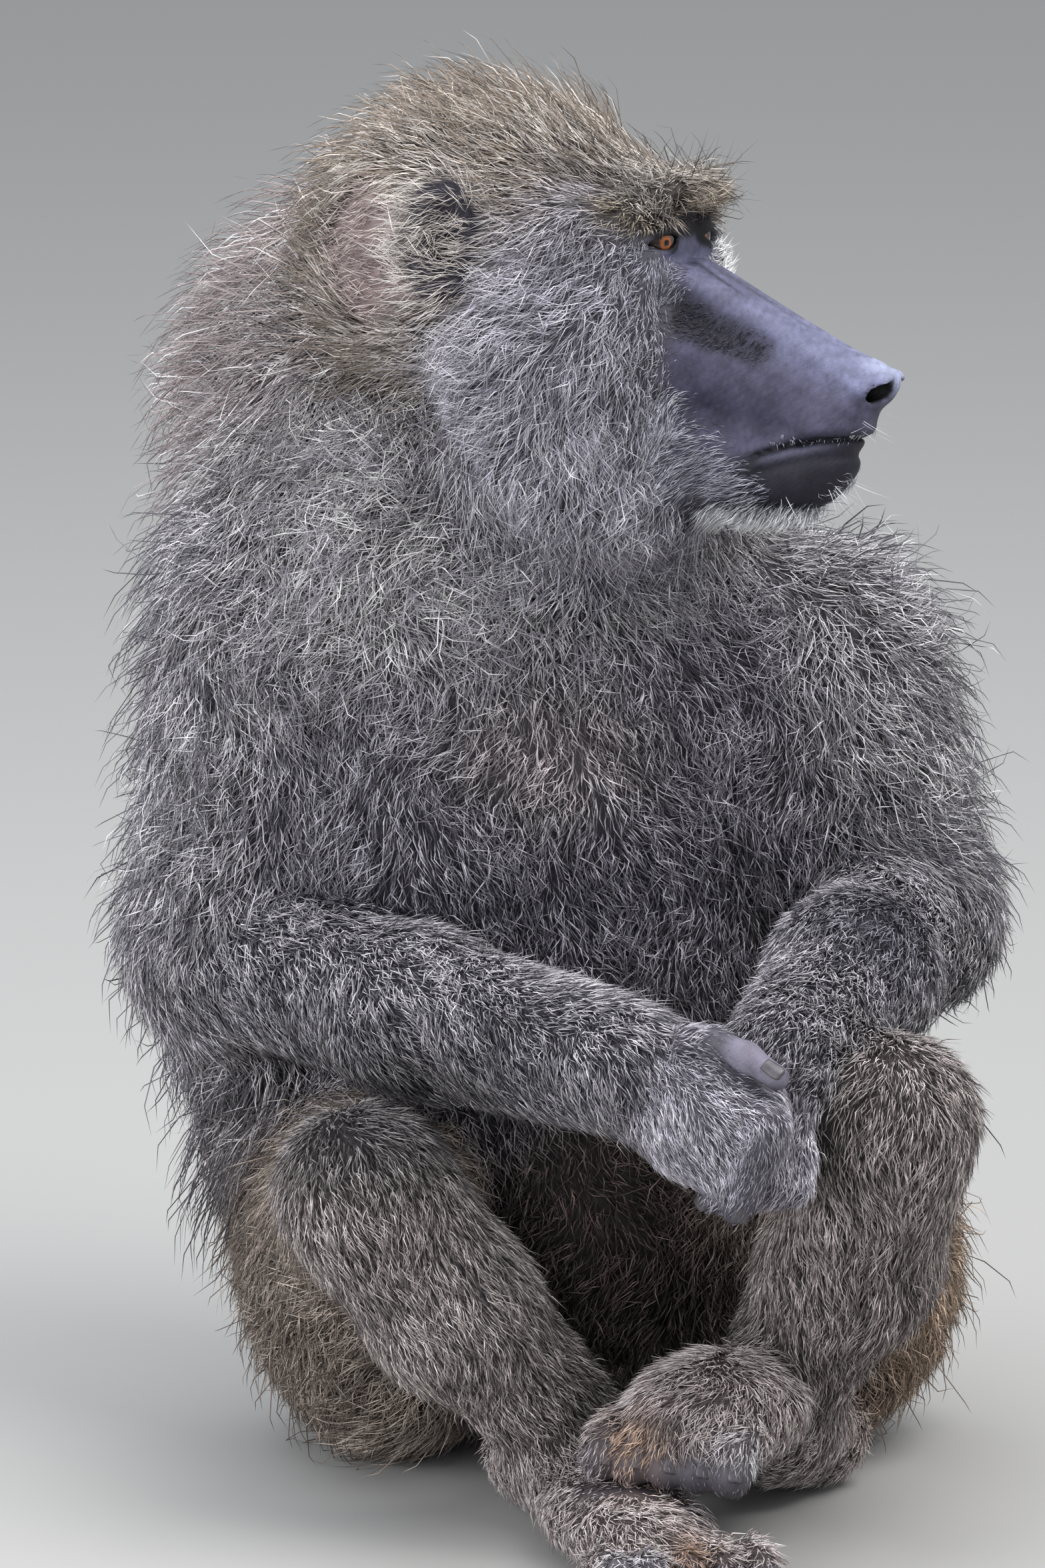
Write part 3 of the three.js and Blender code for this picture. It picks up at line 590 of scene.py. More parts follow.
    def digit_masses(self) -> dict[str, list[Mass]]:
        """Four fingers or five toes on each limb."""
        hands, feet = Part.HANDS, Part.FEET
        return {
            "right_arm": self.rayed(hands, HAND, (2, -266, 212), (-3, 4, -10), (8, -16, -3), (7, -12, -14), 7.5, 4),
            "left_arm": self.rayed(hands, HAND, (35, -238, 182), (-10, 0, 0), (-3, -6, -10), (-7, 4, -17), 7.5, 4),
            "right_leg": self.rayed(feet, FOOT, (-50, -244, 16), (14.5, -2, 0.5), (0, -22, 2), (1, -38, -6), 9.5, 5),
            "left_leg": self.rayed(feet, FOOT, (20, -216, 56), (-11, 10, 0), (-9, -11, -2), (-12, -15, -12), 9.5, 5),
        }

    @staticmethod
    def thumb_masses() -> dict[str, list[Mass]]:
        """The thumbs: the right one has hair on its first bone."""
        hands = Part.HANDS
        return {
            "right_arm": run(hands, HAND, [(-16, -242, 234, 8.0), (-6, -255, 236, 7.2)])
            + run(hands, BARE, [(-6, -255, 236, 6.6), (3, -269, 232.5, 6.1), (13, -279, 225.5, 5.5)]),
            "left_arm": run(hands, BARE, [(20, -232, 212, 8), (4, -240, 218, 7), (-8, -246, 212, 6.5)]),
        }

    def rayed(
        self, part: Part, hair: Hair, knuckle: Vec3, apart: Vec3, bend: Vec3, tip: Vec3, radius: float, count: int
    ) -> list[Mass]:
        """Digits side by side from a first knuckle, each bent once.

        Args:
            part: the coat piece.
            hair: the hair of the first bone; the tip is bare.
            knuckle: where the first digit starts.
            apart: the step from one digit to the next.
            bend: from a knuckle to the bend of the digit.
            tip: from a knuckle to the tip.
            radius: of a digit.
            count: how many digits.

        Returns:
            The masses of all digits.
        """
        masses = []
        for i in range(count):
            root = np.array(knuckle, float) + i * np.array(apart, float)
            middle, end = root + np.array(bend), root + np.array(tip)
            last = middle + (end - middle) * (self.finger_haired if part is Part.HANDS else self.toe_haired)
            masses += run(part, hair, [(*root, radius + 1.5), (*middle, radius), (*last, radius - 0.7)], 0.3)
            masses += run(part, BARE, [(*last, radius - 0.7), (*end, radius - 1.0)])
        return masses

    def every(self) -> list[Mass]:
        """All masses in one list."""
        groups = [*self.limbs.values(), *self.digits.values(), *self.thumbs.values()]
        rest = [m for masses in groups for m in masses]
        return self.trunk + self.crown + self.muzzle + rest

    def head_distance(self, p: Points, h: Points, skin: bool) -> np.ndarray:
        """The head on its own."""
        coat = joined(self.crown, p, h, skin, self.head_blend)
        bare = joined(self.muzzle, p, h, skin, self.muzzle_blend)
        d = soft(coat, bare, self.brow_blend)
        hollow = Limb((14, 36.5, -24), (46, 29.5, -38.5), 10.5, 7.5).distance(folded(h))
        return softly_cut(d, hollow, self.hollow_blend)

    def limb_distance(self, name: str, p: Points, h: Points, skin: bool) -> np.ndarray:
        """One limb with its digits."""
        d = joined(self.limbs[name], p, h, skin, self.limb_blend)
        if name in self.digits:
            d = soft(d, joined(self.digits[name], p, h, skin, self.digit_blend), self.hand_blend)
        if name in self.thumbs:
            d = soft(d, joined(self.thumbs[name], p, h, skin, self.bone_blend), self.thumb_blend)
        return d

    def distance(self, p: Points, skin: bool = True) -> np.ndarray:
        """Signed distance to the whole body in millimetres.

        Args:
            p: places in the body's frame.
            skin: the skin, or else the outside of the coat.

        Returns:
            Distances, negative inside.
        """
        h = into_head(p)
        d = soft(joined(self.trunk, p, h, skin, self.trunk_blend), self.head_distance(p, h, skin), self.neck_blend)
        joints = {
            "right_arm": ELBOW_R, "left_arm": ELBOW_L, "right_leg": KNEE_R, "left_leg": KNEE_L, "tail": TAIL_ROOT,
        }
        for name, joint in joints.items():
            reach = np.linalg.norm(p - np.array(joint), axis=1) / self.joint_reach
            blend = self.touch_blend + self.joint_blend * np.exp(-(reach**2))
            d = soft(d, self.limb_distance(name, p, h, skin), blend)
        if skin:
            d = self.with_face(d, h)
        return np.maximum(d, self.lowest - p[:, 2])

    def distances(self, p: Points, skin: bool = True) -> np.ndarray:
        """The same distances as above, worked out in blocks side by side."""
        return in_blocks(lambda q: self.distance(q, skin), p)

    def with_face(self, d: np.ndarray, h: Points) -> np.ndarray:
        """Adds ears, sockets, lids, nostrils and mouth to the skin's distance.

        Args:
            d: the distance without them.
            h: the places in the head's frame.

        Returns:
            The distance with them.
        """
        near = np.nonzero((np.abs(h) < np.array([125.0, 100.0, 125.0])).all(1) & (np.abs(d) < 60.0))[0]
        if not len(near):
            return d
        q, e = h[near], d[near]
        a = folded(q)
        e = self.with_ears(e, q)
        e = self.with_eyes(e, a)
        e = self.with_nose(e, a)
        e = self.with_mouth(e, a)
        d = d.copy()
        d[near] = e
        return d

    def with_ears(self, e: np.ndarray, q: Points) -> np.ndarray:
        """A thin cup with a rolled rim on each side of the head."""
        for side, out in EAR_OUT.items():
            turn = side * self.ear_turn
            stem = Limb((-90, side * 38, -6), (-94, side * (out - 8), -4), 15, 9).distance(q)
            disc = Egg((-84, side * out, -1), (6.0, 15.5, 26.5), turn).distance(q)
            cup = Egg((-77.0, side * (out + 5.0), 0), (7.0, 11.5, 21.5), turn).distance(q)
            canal = Limb((-82, side * (out - 2), -5), (-96, side * (out - 22), -6), 5.5, 3.5).distance(q)
            ear = softly_cut(disc, cup, 2.5)
            e = soft(soft(e, stem, 10.0), ear, 5.0)
            e = softly_cut(e, canal, 2.5)
        return e

    def with_eyes(self, e: np.ndarray, a: Points) -> np.ndarray:
        """A socket, two lids with an almond opening, and room for the eyeball."""
        socket = Egg((16, 22.5, 1.5), (17, 13, 8.5)).distance(a)
        e = softly_cut(e, socket, 6.0)
        centre = np.array([-EYE_BACK, EYE_APART / 2, EYE_LIFT])
        v = a - centre
        radius = np.linalg.norm(v, axis=1)
        e = soft(e, radius - (EYE_RADIUS + self.lid_thickness), 4.5)
        g = math.radians(self.gaze_out)
        forward = np.array([math.cos(g), math.sin(g), -0.04])
        outward = np.array([-math.sin(g), math.cos(g), 0.0])
        spot = v / np.maximum(radius, 1e-6)[:, None] * EYE_RADIUS
        u, w = spot @ outward - self.opening_shift, spot[:, 2] + 0.10 * (spot @ outward)
        arch = 1.0 - (u / self.opening_width) ** 2
        gap = np.maximum(w - self.upper_lid * arch, -w - self.lower_lid * arch)
        gap = np.maximum(gap * 0.8, np.abs(u) - self.opening_width)
        gap = np.where(spot @ forward > 0, gap, 9.0)
        gap = np.maximum(gap, EYE_RADIUS - 2.0 - radius)
        front = swell(radius, EYE_RADIUS + 2.5, 3.5) * (spot @ forward > 0)
        e += 0.7 * swell(w, self.upper_lid + 2.4, 1.3) * front * ramp(8.5 - np.abs(u), 0, 4)
        e += 0.5 * swell(w, -self.lower_lid - 2.4, 1.3) * front * ramp(8.0 - np.abs(u), 0, 4)
        e = softly_cut(e, gap, 0.7)
        return np.maximum(e, EYE_RADIUS + 0.14 - radius)

    def with_nose(self, e: np.ndarray, a: Points) -> np.ndarray:
        """Nostrils with a raised wing over them, and the groove along the top of the muzzle."""
        wing = Limb((94.5, 6.5, -51.2), (87, 11.5, -54.5), 4.0, 4.4).distance(a)
        e = soft(e, wing, 3.0)
        under = Egg((97.5, 9.0, -62.0), (3.8, 4.0, 4.0)).distance(a)
        e = softly_cut(e, under, 3.0)
        e = softly_cut(e, NOSTRIL.distance(a), 1.0)
        deep = Limb((94, 6.5, -55.5), (84, 7.5, -58.5), 3.4, 2.8).distance(a)
        e = softly_cut(e, deep, 1.2)
        e += 0.9 * swell(a[:, 1], 0.0, 1.8) * ramp(a[:, 0], 88, 96) * ramp(-a[:, 2], 50, 56)
        groove = swell(a[:, 1], 0.0, 4.5) * ramp(a[:, 0], 4, 20) * ramp(-a[:, 0], -84, -58)
        return e + 2.0 * groove * (a[:, 2] > -56)

    @staticmethod
    def mouth_line(x: np.ndarray) -> np.ndarray:
        """How high the line of the mouth runs."""
        return np.interp(x, [38, 45, 57, 70, 84, 90], [-87.5, -84, -79.8, -76.8, -75.8, -77])

    def with_mouth(self, e: np.ndarray, a: Points) -> np.ndarray:
        """The line of the mouth with its two lips."""
        x, off = a[:, 0], a[:, 2] - self.mouth_line(a[:, 0])
        along = ramp(x, 36, 46)
        for depth, height, spread in ((2.6, 0.0, 0.9), (-0.8, 3.6, 2.6), (-1.0, -3.4, 2.2), (0.7, -8.0, 1.6)):
            e += along * depth * swell(off, height, spread)
        fold = swell(off - 9.5 - 0.12 * (x - 40), 0.0, 1.3)
        return e + 0.5 * ramp(x, 24, 34) * ramp(-x, -62, -44) * fold

    def slope(self, p: Points, skin: bool = True, step: float = 0.6) -> tuple[np.ndarray, Points]:
        """The distance and the outward unit slope at each place."""
        d = self.distances(p, skin)
        g = np.empty_like(p)
        for axis in range(3):
            moved = p.copy()
            moved[:, axis] += step
            g[:, axis] = (self.distances(moved, skin) - d) / step
        return d, unit(g)


# ---- meshing the skin ------------------------------------------------------------------------
@dataclass(frozen=True)
class Band:
    """A stretch of one axis where the mesh is finer."""

    low: float
    high: float
    spacing: float


def graded(low: float, high: float, widest: float, bands: Sequence[Band], growth: float = 0.22) -> np.ndarray:
    """Grid lines along one axis, close together in the bands and widening away from them."""
    lines = [low]
    while lines[-1] < high:
        x = lines[-1]
        spacing = widest
        for band in bands:
            away = max(band.low - x, x - band.high, 0.0)
            spacing = min(spacing, band.spacing + growth * away)
        lines.append(x + spacing)
    return np.array(lines)


@dataclass
class SkinMesher:
    """Meshes the skin on a graded grid and settles the vertices onto it.

    Args:
        anatomy: the body.
        widest: spacing of the grid where nothing is fine.
        near: how near the skin the distance is worked out exactly.
        coarse: spacing of the rough grid that finds the skin.
        face: spacing at the face.
        eye: spacing at the eyes.
        hand: spacing at the hands.
        foot: spacing at the feet.
        settle: the furthest that a vertex is moved onto the skin at once.
    """

    anatomy: Anatomy
    widest: float = 7.5
    near: float = 16.0
    coarse: float = 12.0
    face: float = 1.5
    eye: float = 1.0
    hand: float = 2.7
    foot: float = 3.4
    settle: float = 1.2

    def lines(self) -> list[np.ndarray]:
        """The grid lines of the three axes."""
        hand, face, eye = self.hand, self.face, self.eye
        across = [Band(-112, 40, hand), Band(22, 122, face), Band(1, 46, eye)]
        along = [Band(-292, -205, hand), Band(-186, -104, face), Band(-104, -52, eye)]
        upward = [Band(6, 84, self.foot), Band(168, 244, hand), Band(424, 560, face), Band(531, 549, eye)]
        return [
            graded(-225, 262, self.widest, across),
            graded(-305, 448, self.widest, along),
            graded(-6, 614, self.widest, upward),
        ]

    def values(self, lines: list[np.ndarray]) -> np.ndarray:
        """The distance at every grid point, worked out exactly only near the skin."""
        lows = [axis[0] - self.coarse for axis in lines]
        counts = [int((axis[-1] - axis[0]) / self.coarse) + 4 for axis in lines]
        rough = [low + self.coarse * np.arange(n) for low, n in zip(lows, counts)]
        mesh = np.stack(np.meshgrid(*rough, indexing="ij"), -1).reshape(-1, 3)
        guess = self.anatomy.distances(mesh).reshape(counts)
        for axis, (fine, low) in enumerate(zip(lines, lows)):
            place = (fine - low) / self.coarse
            whole = np.floor(place).astype(int)
            part = place - whole
            guess = np.moveaxis(guess, axis, 0)
            share = part.reshape(-1, 1, 1)
            guess = guess[whole] * (1 - share) + guess[whole + 1] * share
            guess = np.moveaxis(guess, 0, axis)
        at = np.argwhere(np.abs(guess) < self.near)
        p = np.column_stack([lines[k][at[:, k]] for k in range(3)])
        guess[tuple(at.T)] = self.anatomy.distances(p)
        return guess

    def build(self) -> tuple[Points, np.ndarray]:
        """The skin's vertices in millimetres and its quads."""
        lines = self.lines()
        value = self.values(lines)
        inside = value < 0
        size = np.array(value.shape) - 1
        corners = list(np.ndindex(2, 2, 2))
        total = sum(inside[tuple(slice(k, k + n) for k, n in zip(c, size))].astype(np.int8) for c in corners)
        cells = np.argwhere((total > 0) & (total < 8))
        place = self.crossings(lines, value, cells, corners)
        return self.settled(place), self.quads(inside, cells, size)

    @staticmethod
    def crossings(lines: list[np.ndarray], value: np.ndarray, cells: np.ndarray, corners: list) -> Points:
        """The middle of the places where the skin crosses the edges of each cell."""
        place = np.zeros((len(cells), 3))
        crossed = np.zeros(len(cells))
        for c in corners:
            for axis in range(3):
                if c[axis]:
                    continue
                other = tuple(c[k] + (k == axis) for k in range(3))
                a = value[tuple((cells + np.array(c)).T)]
                b = value[tuple((cells + np.array(other)).T)]
                cut = (a < 0) != (b < 0)
                t = np.where(cut, a / np.where(cut, a - b, 1.0), 0.0)
                for k in range(3):
                    low, high = lines[k][cells[:, k]], lines[k][cells[:, k] + 1]
                    share = t if k == axis else c[k]
                    place[:, k] += np.where(cut, low + share * (high - low), 0.0)
                crossed += cut
        return place / crossed[:, None]

    @staticmethod
    def quads(inside: np.ndarray, cells: np.ndarray, size: np.ndarray) -> np.ndarray:
        """A quad for each grid edge that the skin crosses, between the cells round it, facing outwards."""
        index = np.full(tuple(size), -1, np.int64)
        index[tuple(cells.T)] = np.arange(len(cells))
        quads = []
        for axis in range(3):
            u, w = (axis + 1) % 3, (axis + 2) % 3
            here = [slice(None)] * 3
            there = [slice(None)] * 3
            here[axis], there[axis] = slice(0, -1), slice(1, None)
            changes = np.argwhere(inside[tuple(here)] != inside[tuple(there)])
            changes = changes[(changes[:, u] > 0) & (changes[:, w] > 0)]
            changes = changes[(changes[:, u] < size[u]) & (changes[:, w] < size[w])]
            ring = []
            for du, dw in ((0, 0), (1, 0), (1, 1), (0, 1)):
                c = changes.copy()
                c[:, u] -= du
                c[:, w] -= dw
                ring.append(index[tuple(c.T)])
            quad = np.stack(ring, 1)
            back = ~inside[tuple(changes.T)]
            quad[back] = quad[back][:, ::-1]
            quads.append(quad)
        return np.concatenate(quads)

    def settled(self, p: Points) -> Points:
        """The vertices moved onto the skin."""
        for _ in range(2):
            d, n = self.anatomy.slope(p, step=0.3)
            p = p - n * np.clip(d, -self.settle, self.settle)[:, None]
        return p


# ---- the coat's state at a place ---------------------------------------------------------------
@dataclass(frozen=True)
class Mark:
    """A soft patch of colours laid over the coat's blended ones, in millimetres: some are markings of the coat, some
    are painted shadow and painted light.
    """

    centre: Vec3
    radii: Vec3
    band: Colour
    tip: Colour
    strength: float = 1.0
    root: Colour = SLATE


MARKS = (
    # groin
    Mark((0, -92, 128), (46, 46, 74), (0.062, 0.048, 0.046), (0.19, 0.145, 0.13), 1.0, (0.022, 0.018, 0.018)),
    # left forearm
    Mark((96, -140, 250), (26, 34, 20), (0.055, 0.052, 0.068), (0.22, 0.21, 0.26), 0.85),
    # left foot, pale toes
    Mark((14, -222, 46), (13, 15, 16), (0.60, 0.59, 0.64), (0.92, 0.91, 0.94), 0.9),
    # left foot, rusty side
    Mark((-24, -206, 56), (13, 22, 22), (0.46, 0.28, 0.17), (0.66, 0.46, 0.32), 0.85),
    # right toes, rusty
    Mark((-20, -262, 20), (10, 24, 12), (0.50, 0.29, 0.18), (0.68, 0.46, 0.32), 0.8),
    # right toes, pale
    Mark((-44, -268, 18), (13, 18, 14), (0.60, 0.59, 0.65), (0.90, 0.89, 0.94), 0.85),
    # left haunch
    Mark((124, -60, 96), (40, 70, 80), (0.33, 0.225, 0.150), (0.68, 0.51, 0.38), 0.95),
    # right knee top: painted shadow of the forearm
    Mark((-122, -140, 190), (62, 60, 30),
         (0.045, 0.041, 0.045), (0.24, 0.225, 0.23), 0.95, (0.02, 0.018, 0.02)),
    # right shin: painted light, paler hair that lifts the shadow of the forearm
    Mark((-82, -142, 96), (44, 46, 54), (0.31, 0.27, 0.255), (0.92, 0.84, 0.80), 0.8),
    # lower back
    Mark((0, 124, 200), (150, 64, 120), (0.27, 0.242, 0.212), (0.64, 0.58, 0.51), 0.75),
    # breast
    Mark((-30, -86, 330), (40, 50, 30), (0.25, 0.205, 0.205), (0.62, 0.56, 0.55), 0.7),
)


@dataclass(frozen=True)
class Plant:
    """A patch of the head where other hair grows, in the head's frame.

    Args:
        shape: the patch; on both sides where it is a twin.
        hair: the kind of hair.
        flow: where it points.
        soft: how wide the edge of the patch is.
        side: -1 or 1 for one side only, 0 for both.
    """

    shape: Egg | Limb
    hair: Hair
    flow: Vec3
    soft: float = 3.0
    side: int = 0

    def share(self, h: Points) -> np.ndarray:
        """How far each place belongs to the patch, from 0 to 1."""
        share = ramp(-self.shape.distance(folded(h)), -self.soft, self.soft * 0.5)
        return share * (h[:, 1] * self.side > 0) if self.side else share

    def lie(self, h: Points) -> Points:
        """The way of its hair in the body's frame."""
        way = np.tile(np.array(self.flow, float), (len(h), 1))
        way[:, 1] *= np.where(h[:, 1] < 0, -1.0, 1.0)
        return way @ HEAD_TURN.T


PLANTS = (
    Plant(Egg((-80, 62, 0), (20, 24, 34)), VEIL, (-1.0, 0.1, 0.0), 4.0),
    Plant(Egg((-118, 50, -10), (26, 24, 32)), THIN, (-1.0, 0.2, -0.3), 7.0),
    Plant(Limb((5, 27, -12), (-2, 38, -1), 9.5, 9), DOWN, (-0.5, 0.3, -0.8), 4.0),
    Plant(Limb((-2, 35, 12), (-12, 40, 12), 7, 8), BROW_EDGE, (-0.45, 0.40, -0.35), 6.0),
    Plant(Limb((8, 4, 18), (4, 26, 17), 6.5, 6.0), BROW_EDGE, (0.90, 0.15, -0.22), 3.0),
    Plant(Egg((-3, 31, 21), (10, 9, 8)), WHORL, (-0.55, 0.30, 0.35), 5.0),
    Plant(Limb((16, 26, -30), (44, 24, -39), 8, 6), SOOT, (-0.6, 0.0, -0.8), 3.0),
    Plant(Limb((10, 30, -70), (14, 28, -92), 12, 12), JOWL, (-0.9, 0.2, -0.45), 4.0),
    Plant(Limb((22, 26, -84), (40, 18, -101), 11, 9), JOWL, (-1.0, 0.15, -0.35), 6.0),
    Plant(Limb((27, 11, -113), (64, 6, -110), 9.5, 6.5), FRINGE, (-0.45, 0.05, -1.0), 2.5),
    Plant(Limb((50, 18, -77.5), (88, 6, -74.0), 2.4, 2.4), LIP, (0.2, 0.2, -1.0), 1.2),
    Plant(Egg((76, 0, -98), (12, 15, 10)), CHIN, (0.8, 0.1, -0.6), 3.0),
    Plant(Limb((8, 31, 3), (8, 36, -17), 8, 8), FLUFF, (0.75, 0.5, 0.30), 4.0, 1),
)


@dataclass
class Lie:
    """The coat at a set of places, blended from the masses nearby."""

    way: Points
    numbers: dict[str, np.ndarray]
    colours: dict[str, Points]
    part: np.ndarray


class Pelt:
    """Gives the coat's kind, direction and colours at any place on the skin."""

    COUNTS = ("density", "under", "guard")
    NUMBERS = ("length", "depth", "width", *COUNTS, "stray", "erect", "clump", "dark", "black")
    COLOURS = ("root", "band", "tip")
    hands_from = -208
    hands_spread = 3.0

    def __init__(self, anatomy: Anatomy, spread: float = 7.0) -> None:
        """Keeps the masses; spread is how softly one kind of hair passes into the next."""
        self.masses = anatomy.every()
        self.spread = spread
        self.parts = list(Part)

    def apart(self, p: Points) -> np.ndarray:
        """The distance of each place to each mass."""
        h = into_head(p)
        return np.stack([m.distance(p, h, True) for m in self.masses], 1)

    def at(self, p: Points) -> Lie:
        """The coat at each place.

        Args:
            p: places on the skin, in the body's frame, in millimetres.

        Returns:
            Its direction, its numbers, its colours and the part that it belongs to.
        """
        h = into_head(p)
        distance = in_blocks(self.apart, p)
        low = distance.min(1, keepdims=True)
        spread = np.where(p[:, 1] < self.hands_from, self.hands_spread, self.spread)[:, None]
        weight = np.exp(-(distance - low) / spread)
        weight /= weight.sum(1, keepdims=True)
        way = np.zeros_like(p)
        for i, mass in enumerate(self.masses):
            some = weight[:, i] > 1e-3
            if some.any():
                way[some] += weight[some, i, None] * mass.lie(p[some], h[some])
        blended = {
            n: weight @ np.array([getattr(m.hair, n) for m in self.masses]) for n in self.NUMBERS + self.COLOURS
        }
        numbers = {n: blended[n] for n in self.NUMBERS}
        colours = {n: blended[n] for n in self.COLOURS}
        part = np.array([self.parts.index(m.part) for m in self.masses])[distance.argmin(1)]
        self.mark(p, colours)
        self.bare_face(h, numbers)
        self.plant(h, way, numbers, colours)
        self.clear_eyes(h, numbers)
        return Lie(way, numbers, colours, part)

    def clear_eyes(self, h: Points, numbers: dict[str, np.ndarray]) -> None:
        """Keeps hair off the lids and the dark skin behind the corner of each eye."""
        a = folded(h)
        lids = ramp(within(a, (3, 21.5, 2.2), (10, 10.5, 6.0)), 0.9, 1.15)
        corner = ramp(within(a, (-6, 33, 4.5), (12, 8, 3.6)), 0.9, 1.2)
        for name in self.COUNTS:
            numbers[name] *= np.minimum(lids, corner)

    def mark(self, p: Points, colours: dict[str, Points]) -> None:
        """Lays the patches over the blended colours."""
        for m in MARKS:
            q = (p - np.array(m.centre)) / np.array(m.radii)
            share = m.strength * np.exp(-((q * q).sum(1) ** 1.5))[:, None]
            for name in self.COLOURS:
                colours[name] = mixed(colours[name], getattr(m, name), share)

    def plant(
        self, h: Points, way: Points, numbers: dict[str, np.ndarray], colours: dict[str, Points]
    ) -> None:
        """Lays the patches of other hair over the head."""
        for plant in PLANTS:
            share = plant.share(h)
            some = np.nonzero(share > 0.0)[0]
            if not len(some):
                continue
            part = share[some]
            way[some] = mixed(way[some], plant.lie(h[some]), part[:, None])
            for name in self.NUMBERS:
                numbers[name][some] = mixed(numbers[name][some], getattr(plant.hair, name), part)
            for name in self.COLOURS:
                colours[name][some] = mixed(colours[name][some], getattr(plant.hair, name), part[:, None])

    @staticmethod
    def face_edge(h: Points) -> np.ndarray:
        """How far in front of the edge of the bare face a place of the head lies."""
        edge = np.interp(
            h[:, 2],
            [-125, -111, -99, -89, -72, -59, -42, -27, -16, -8, -2, 5, 8, 14, 30],
            [40, 27, 20, 13, 9, 10, 10.5, 9, 7, 3, -8, -6, 16, 24, 40],
        )
        return h[:, 0] - edge - 15.0 * ramp(np.abs(h[:, 1]), 27, 31) * swell(h[:, 2], -1, 9)

    def bare_face(self, h: Points, numbers: dict[str, np.ndarray]) -> None:
        """Thins and shortens the coat towards the bare face."""
        head = (np.abs(h[:, 1]) < 62) & (h[:, 0] > -60) & (np.abs(h[:, 2]) < 130)
        front = self.face_edge(h)
        keep = np.where(head, 1 - ramp(front, -2.5, 2.5), 1.0)
        short = np.where(head, 1 - 0.5 * ramp(front, -20.0, 0.0), 1.0)
        for name in self.COUNTS:
            numbers[name] = numbers[name] * keep
        for name in ("length", "depth"):
            numbers[name] = numbers[name] * short


# ---- noise -----------------------------------------------------------------------------------
class Wander:
    """A smooth wandering value over space, the same on every run."""

    def __init__(self, seed: int, wavelength: float, waves: int = 7) -> None:
        """Draws the waves; wavelength is in millimetres."""
        rng = np.random.default_rng(seed)
        way = unit(rng.normal(size=(waves, 3)))
        self.way = way * (2 * math.pi / wavelength) * rng.uniform(0.6, 1.5, (waves, 1))
        self.phase = rng.uniform(0, 2 * math.pi, waves)

    def at(self, p: Points) -> np.ndarray:
        """Values of about -1 to 1."""
        return np.sin(p @ self.way.T + self.phase).sum(1) / math.sqrt(len(self.phase) * 0.5) * 0.6


# ---- materials -------------------------------------------------------------------------------
def new_group(
    name: str, inputs: Sequence[tuple[str, str, float]], outputs: Sequence[tuple[str, str]]
) -> bpy.types.NodeTree:
    """An empty shader node group with named sockets.

    Args:
        name: of the group.
        inputs: name, socket type and default of each input.
        outputs: name and socket type of each output.

    Returns:
        The group.
    """
    group = bpy.data.node_groups.new(name, "ShaderNodeTree")
    for label, kind, value in inputs:
        socket = group.interface.new_socket(name=label, in_out="INPUT", socket_type=kind)
        if kind == "NodeSocketFloat":
            socket.default_value = value
    for label, kind in outputs:
        group.interface.new_socket(name=label, in_out="OUTPUT", socket_type=kind)
    return group


class Nodes:
    """A small helper that adds and links shader nodes in one tree."""

    def __init__(self, tree: bpy.types.NodeTree) -> None:
        """Keeps the tree."""
        self.tree = tree

    def add(self, kind: str, inputs: dict | None = None, **settings: object) -> bpy.types.Node:
        """A node with its settings, and its inputs set or linked.

        Args:
            kind: the node's type name.
            inputs: values or sockets by input name or number.
            settings: attributes of the node.

        Returns:
            The node.
        """
        node = self.tree.nodes.new(kind)
        for key, value in settings.items():
            setattr(node, key, value)
        for key, value in (inputs or {}).items():
            if isinstance(value, bpy.types.NodeSocket):
                self.tree.links.new(value, node.inputs[key])
            else:
                node.inputs[key].default_value = value
        return node

    def math(self, operation: str, *values: object) -> bpy.types.NodeSocket:
        """The output of a math node."""
        return self.add("ShaderNodeMath", dict(enumerate(values)), operation=operation).outputs[0]

    def mix(self, factor: object, a: object, b: object, blend: str = "MIX") -> bpy.types.NodeSocket:
        """The output of a colour mix."""
        node = self.add("ShaderNodeMix", {0: factor, 6: a, 7: b}, data_type="RGBA", blend_type=blend)
        return node.outputs[2]

    def link(self, output: bpy.types.NodeSocket, into: bpy.types.NodeSocket) -> None:
        """Links an output to an input."""
        self.tree.links.new(output, into)

    def scaled(self, colour: object, value: object) -> bpy.types.NodeSocket:
        """The output of a colour times a value."""
        grey = self.add("ShaderNodeCombineColor", {0: value, 1: value, 2: value})
        return self.mix(1.0, colour, grey.outputs[0], "MULTIPLY")

    def speck(
        self, grain: bpy.types.NodeTree, place: bpy.types.NodeSocket, pore: float, mottle: float, contrast: float
    ) -> bpy.types.Node:
        """The fine grain at a place."""
        sizes = {"Vector": place, "Pore Size": pore, "Mottle Size": mottle, "Contrast": contrast}
        return self.add("ShaderNodeGroup", sizes, node_tree=grain)


def blank(name: str) -> tuple[bpy.types.Material, Nodes, bpy.types.Node]:
    """A new material, a helper for its nodes, and its shader."""
    material = bpy.data.materials.new(name)
    material.use_nodes = True
    return material, Nodes(material.node_tree), material.node_tree.nodes["Principled BSDF"]


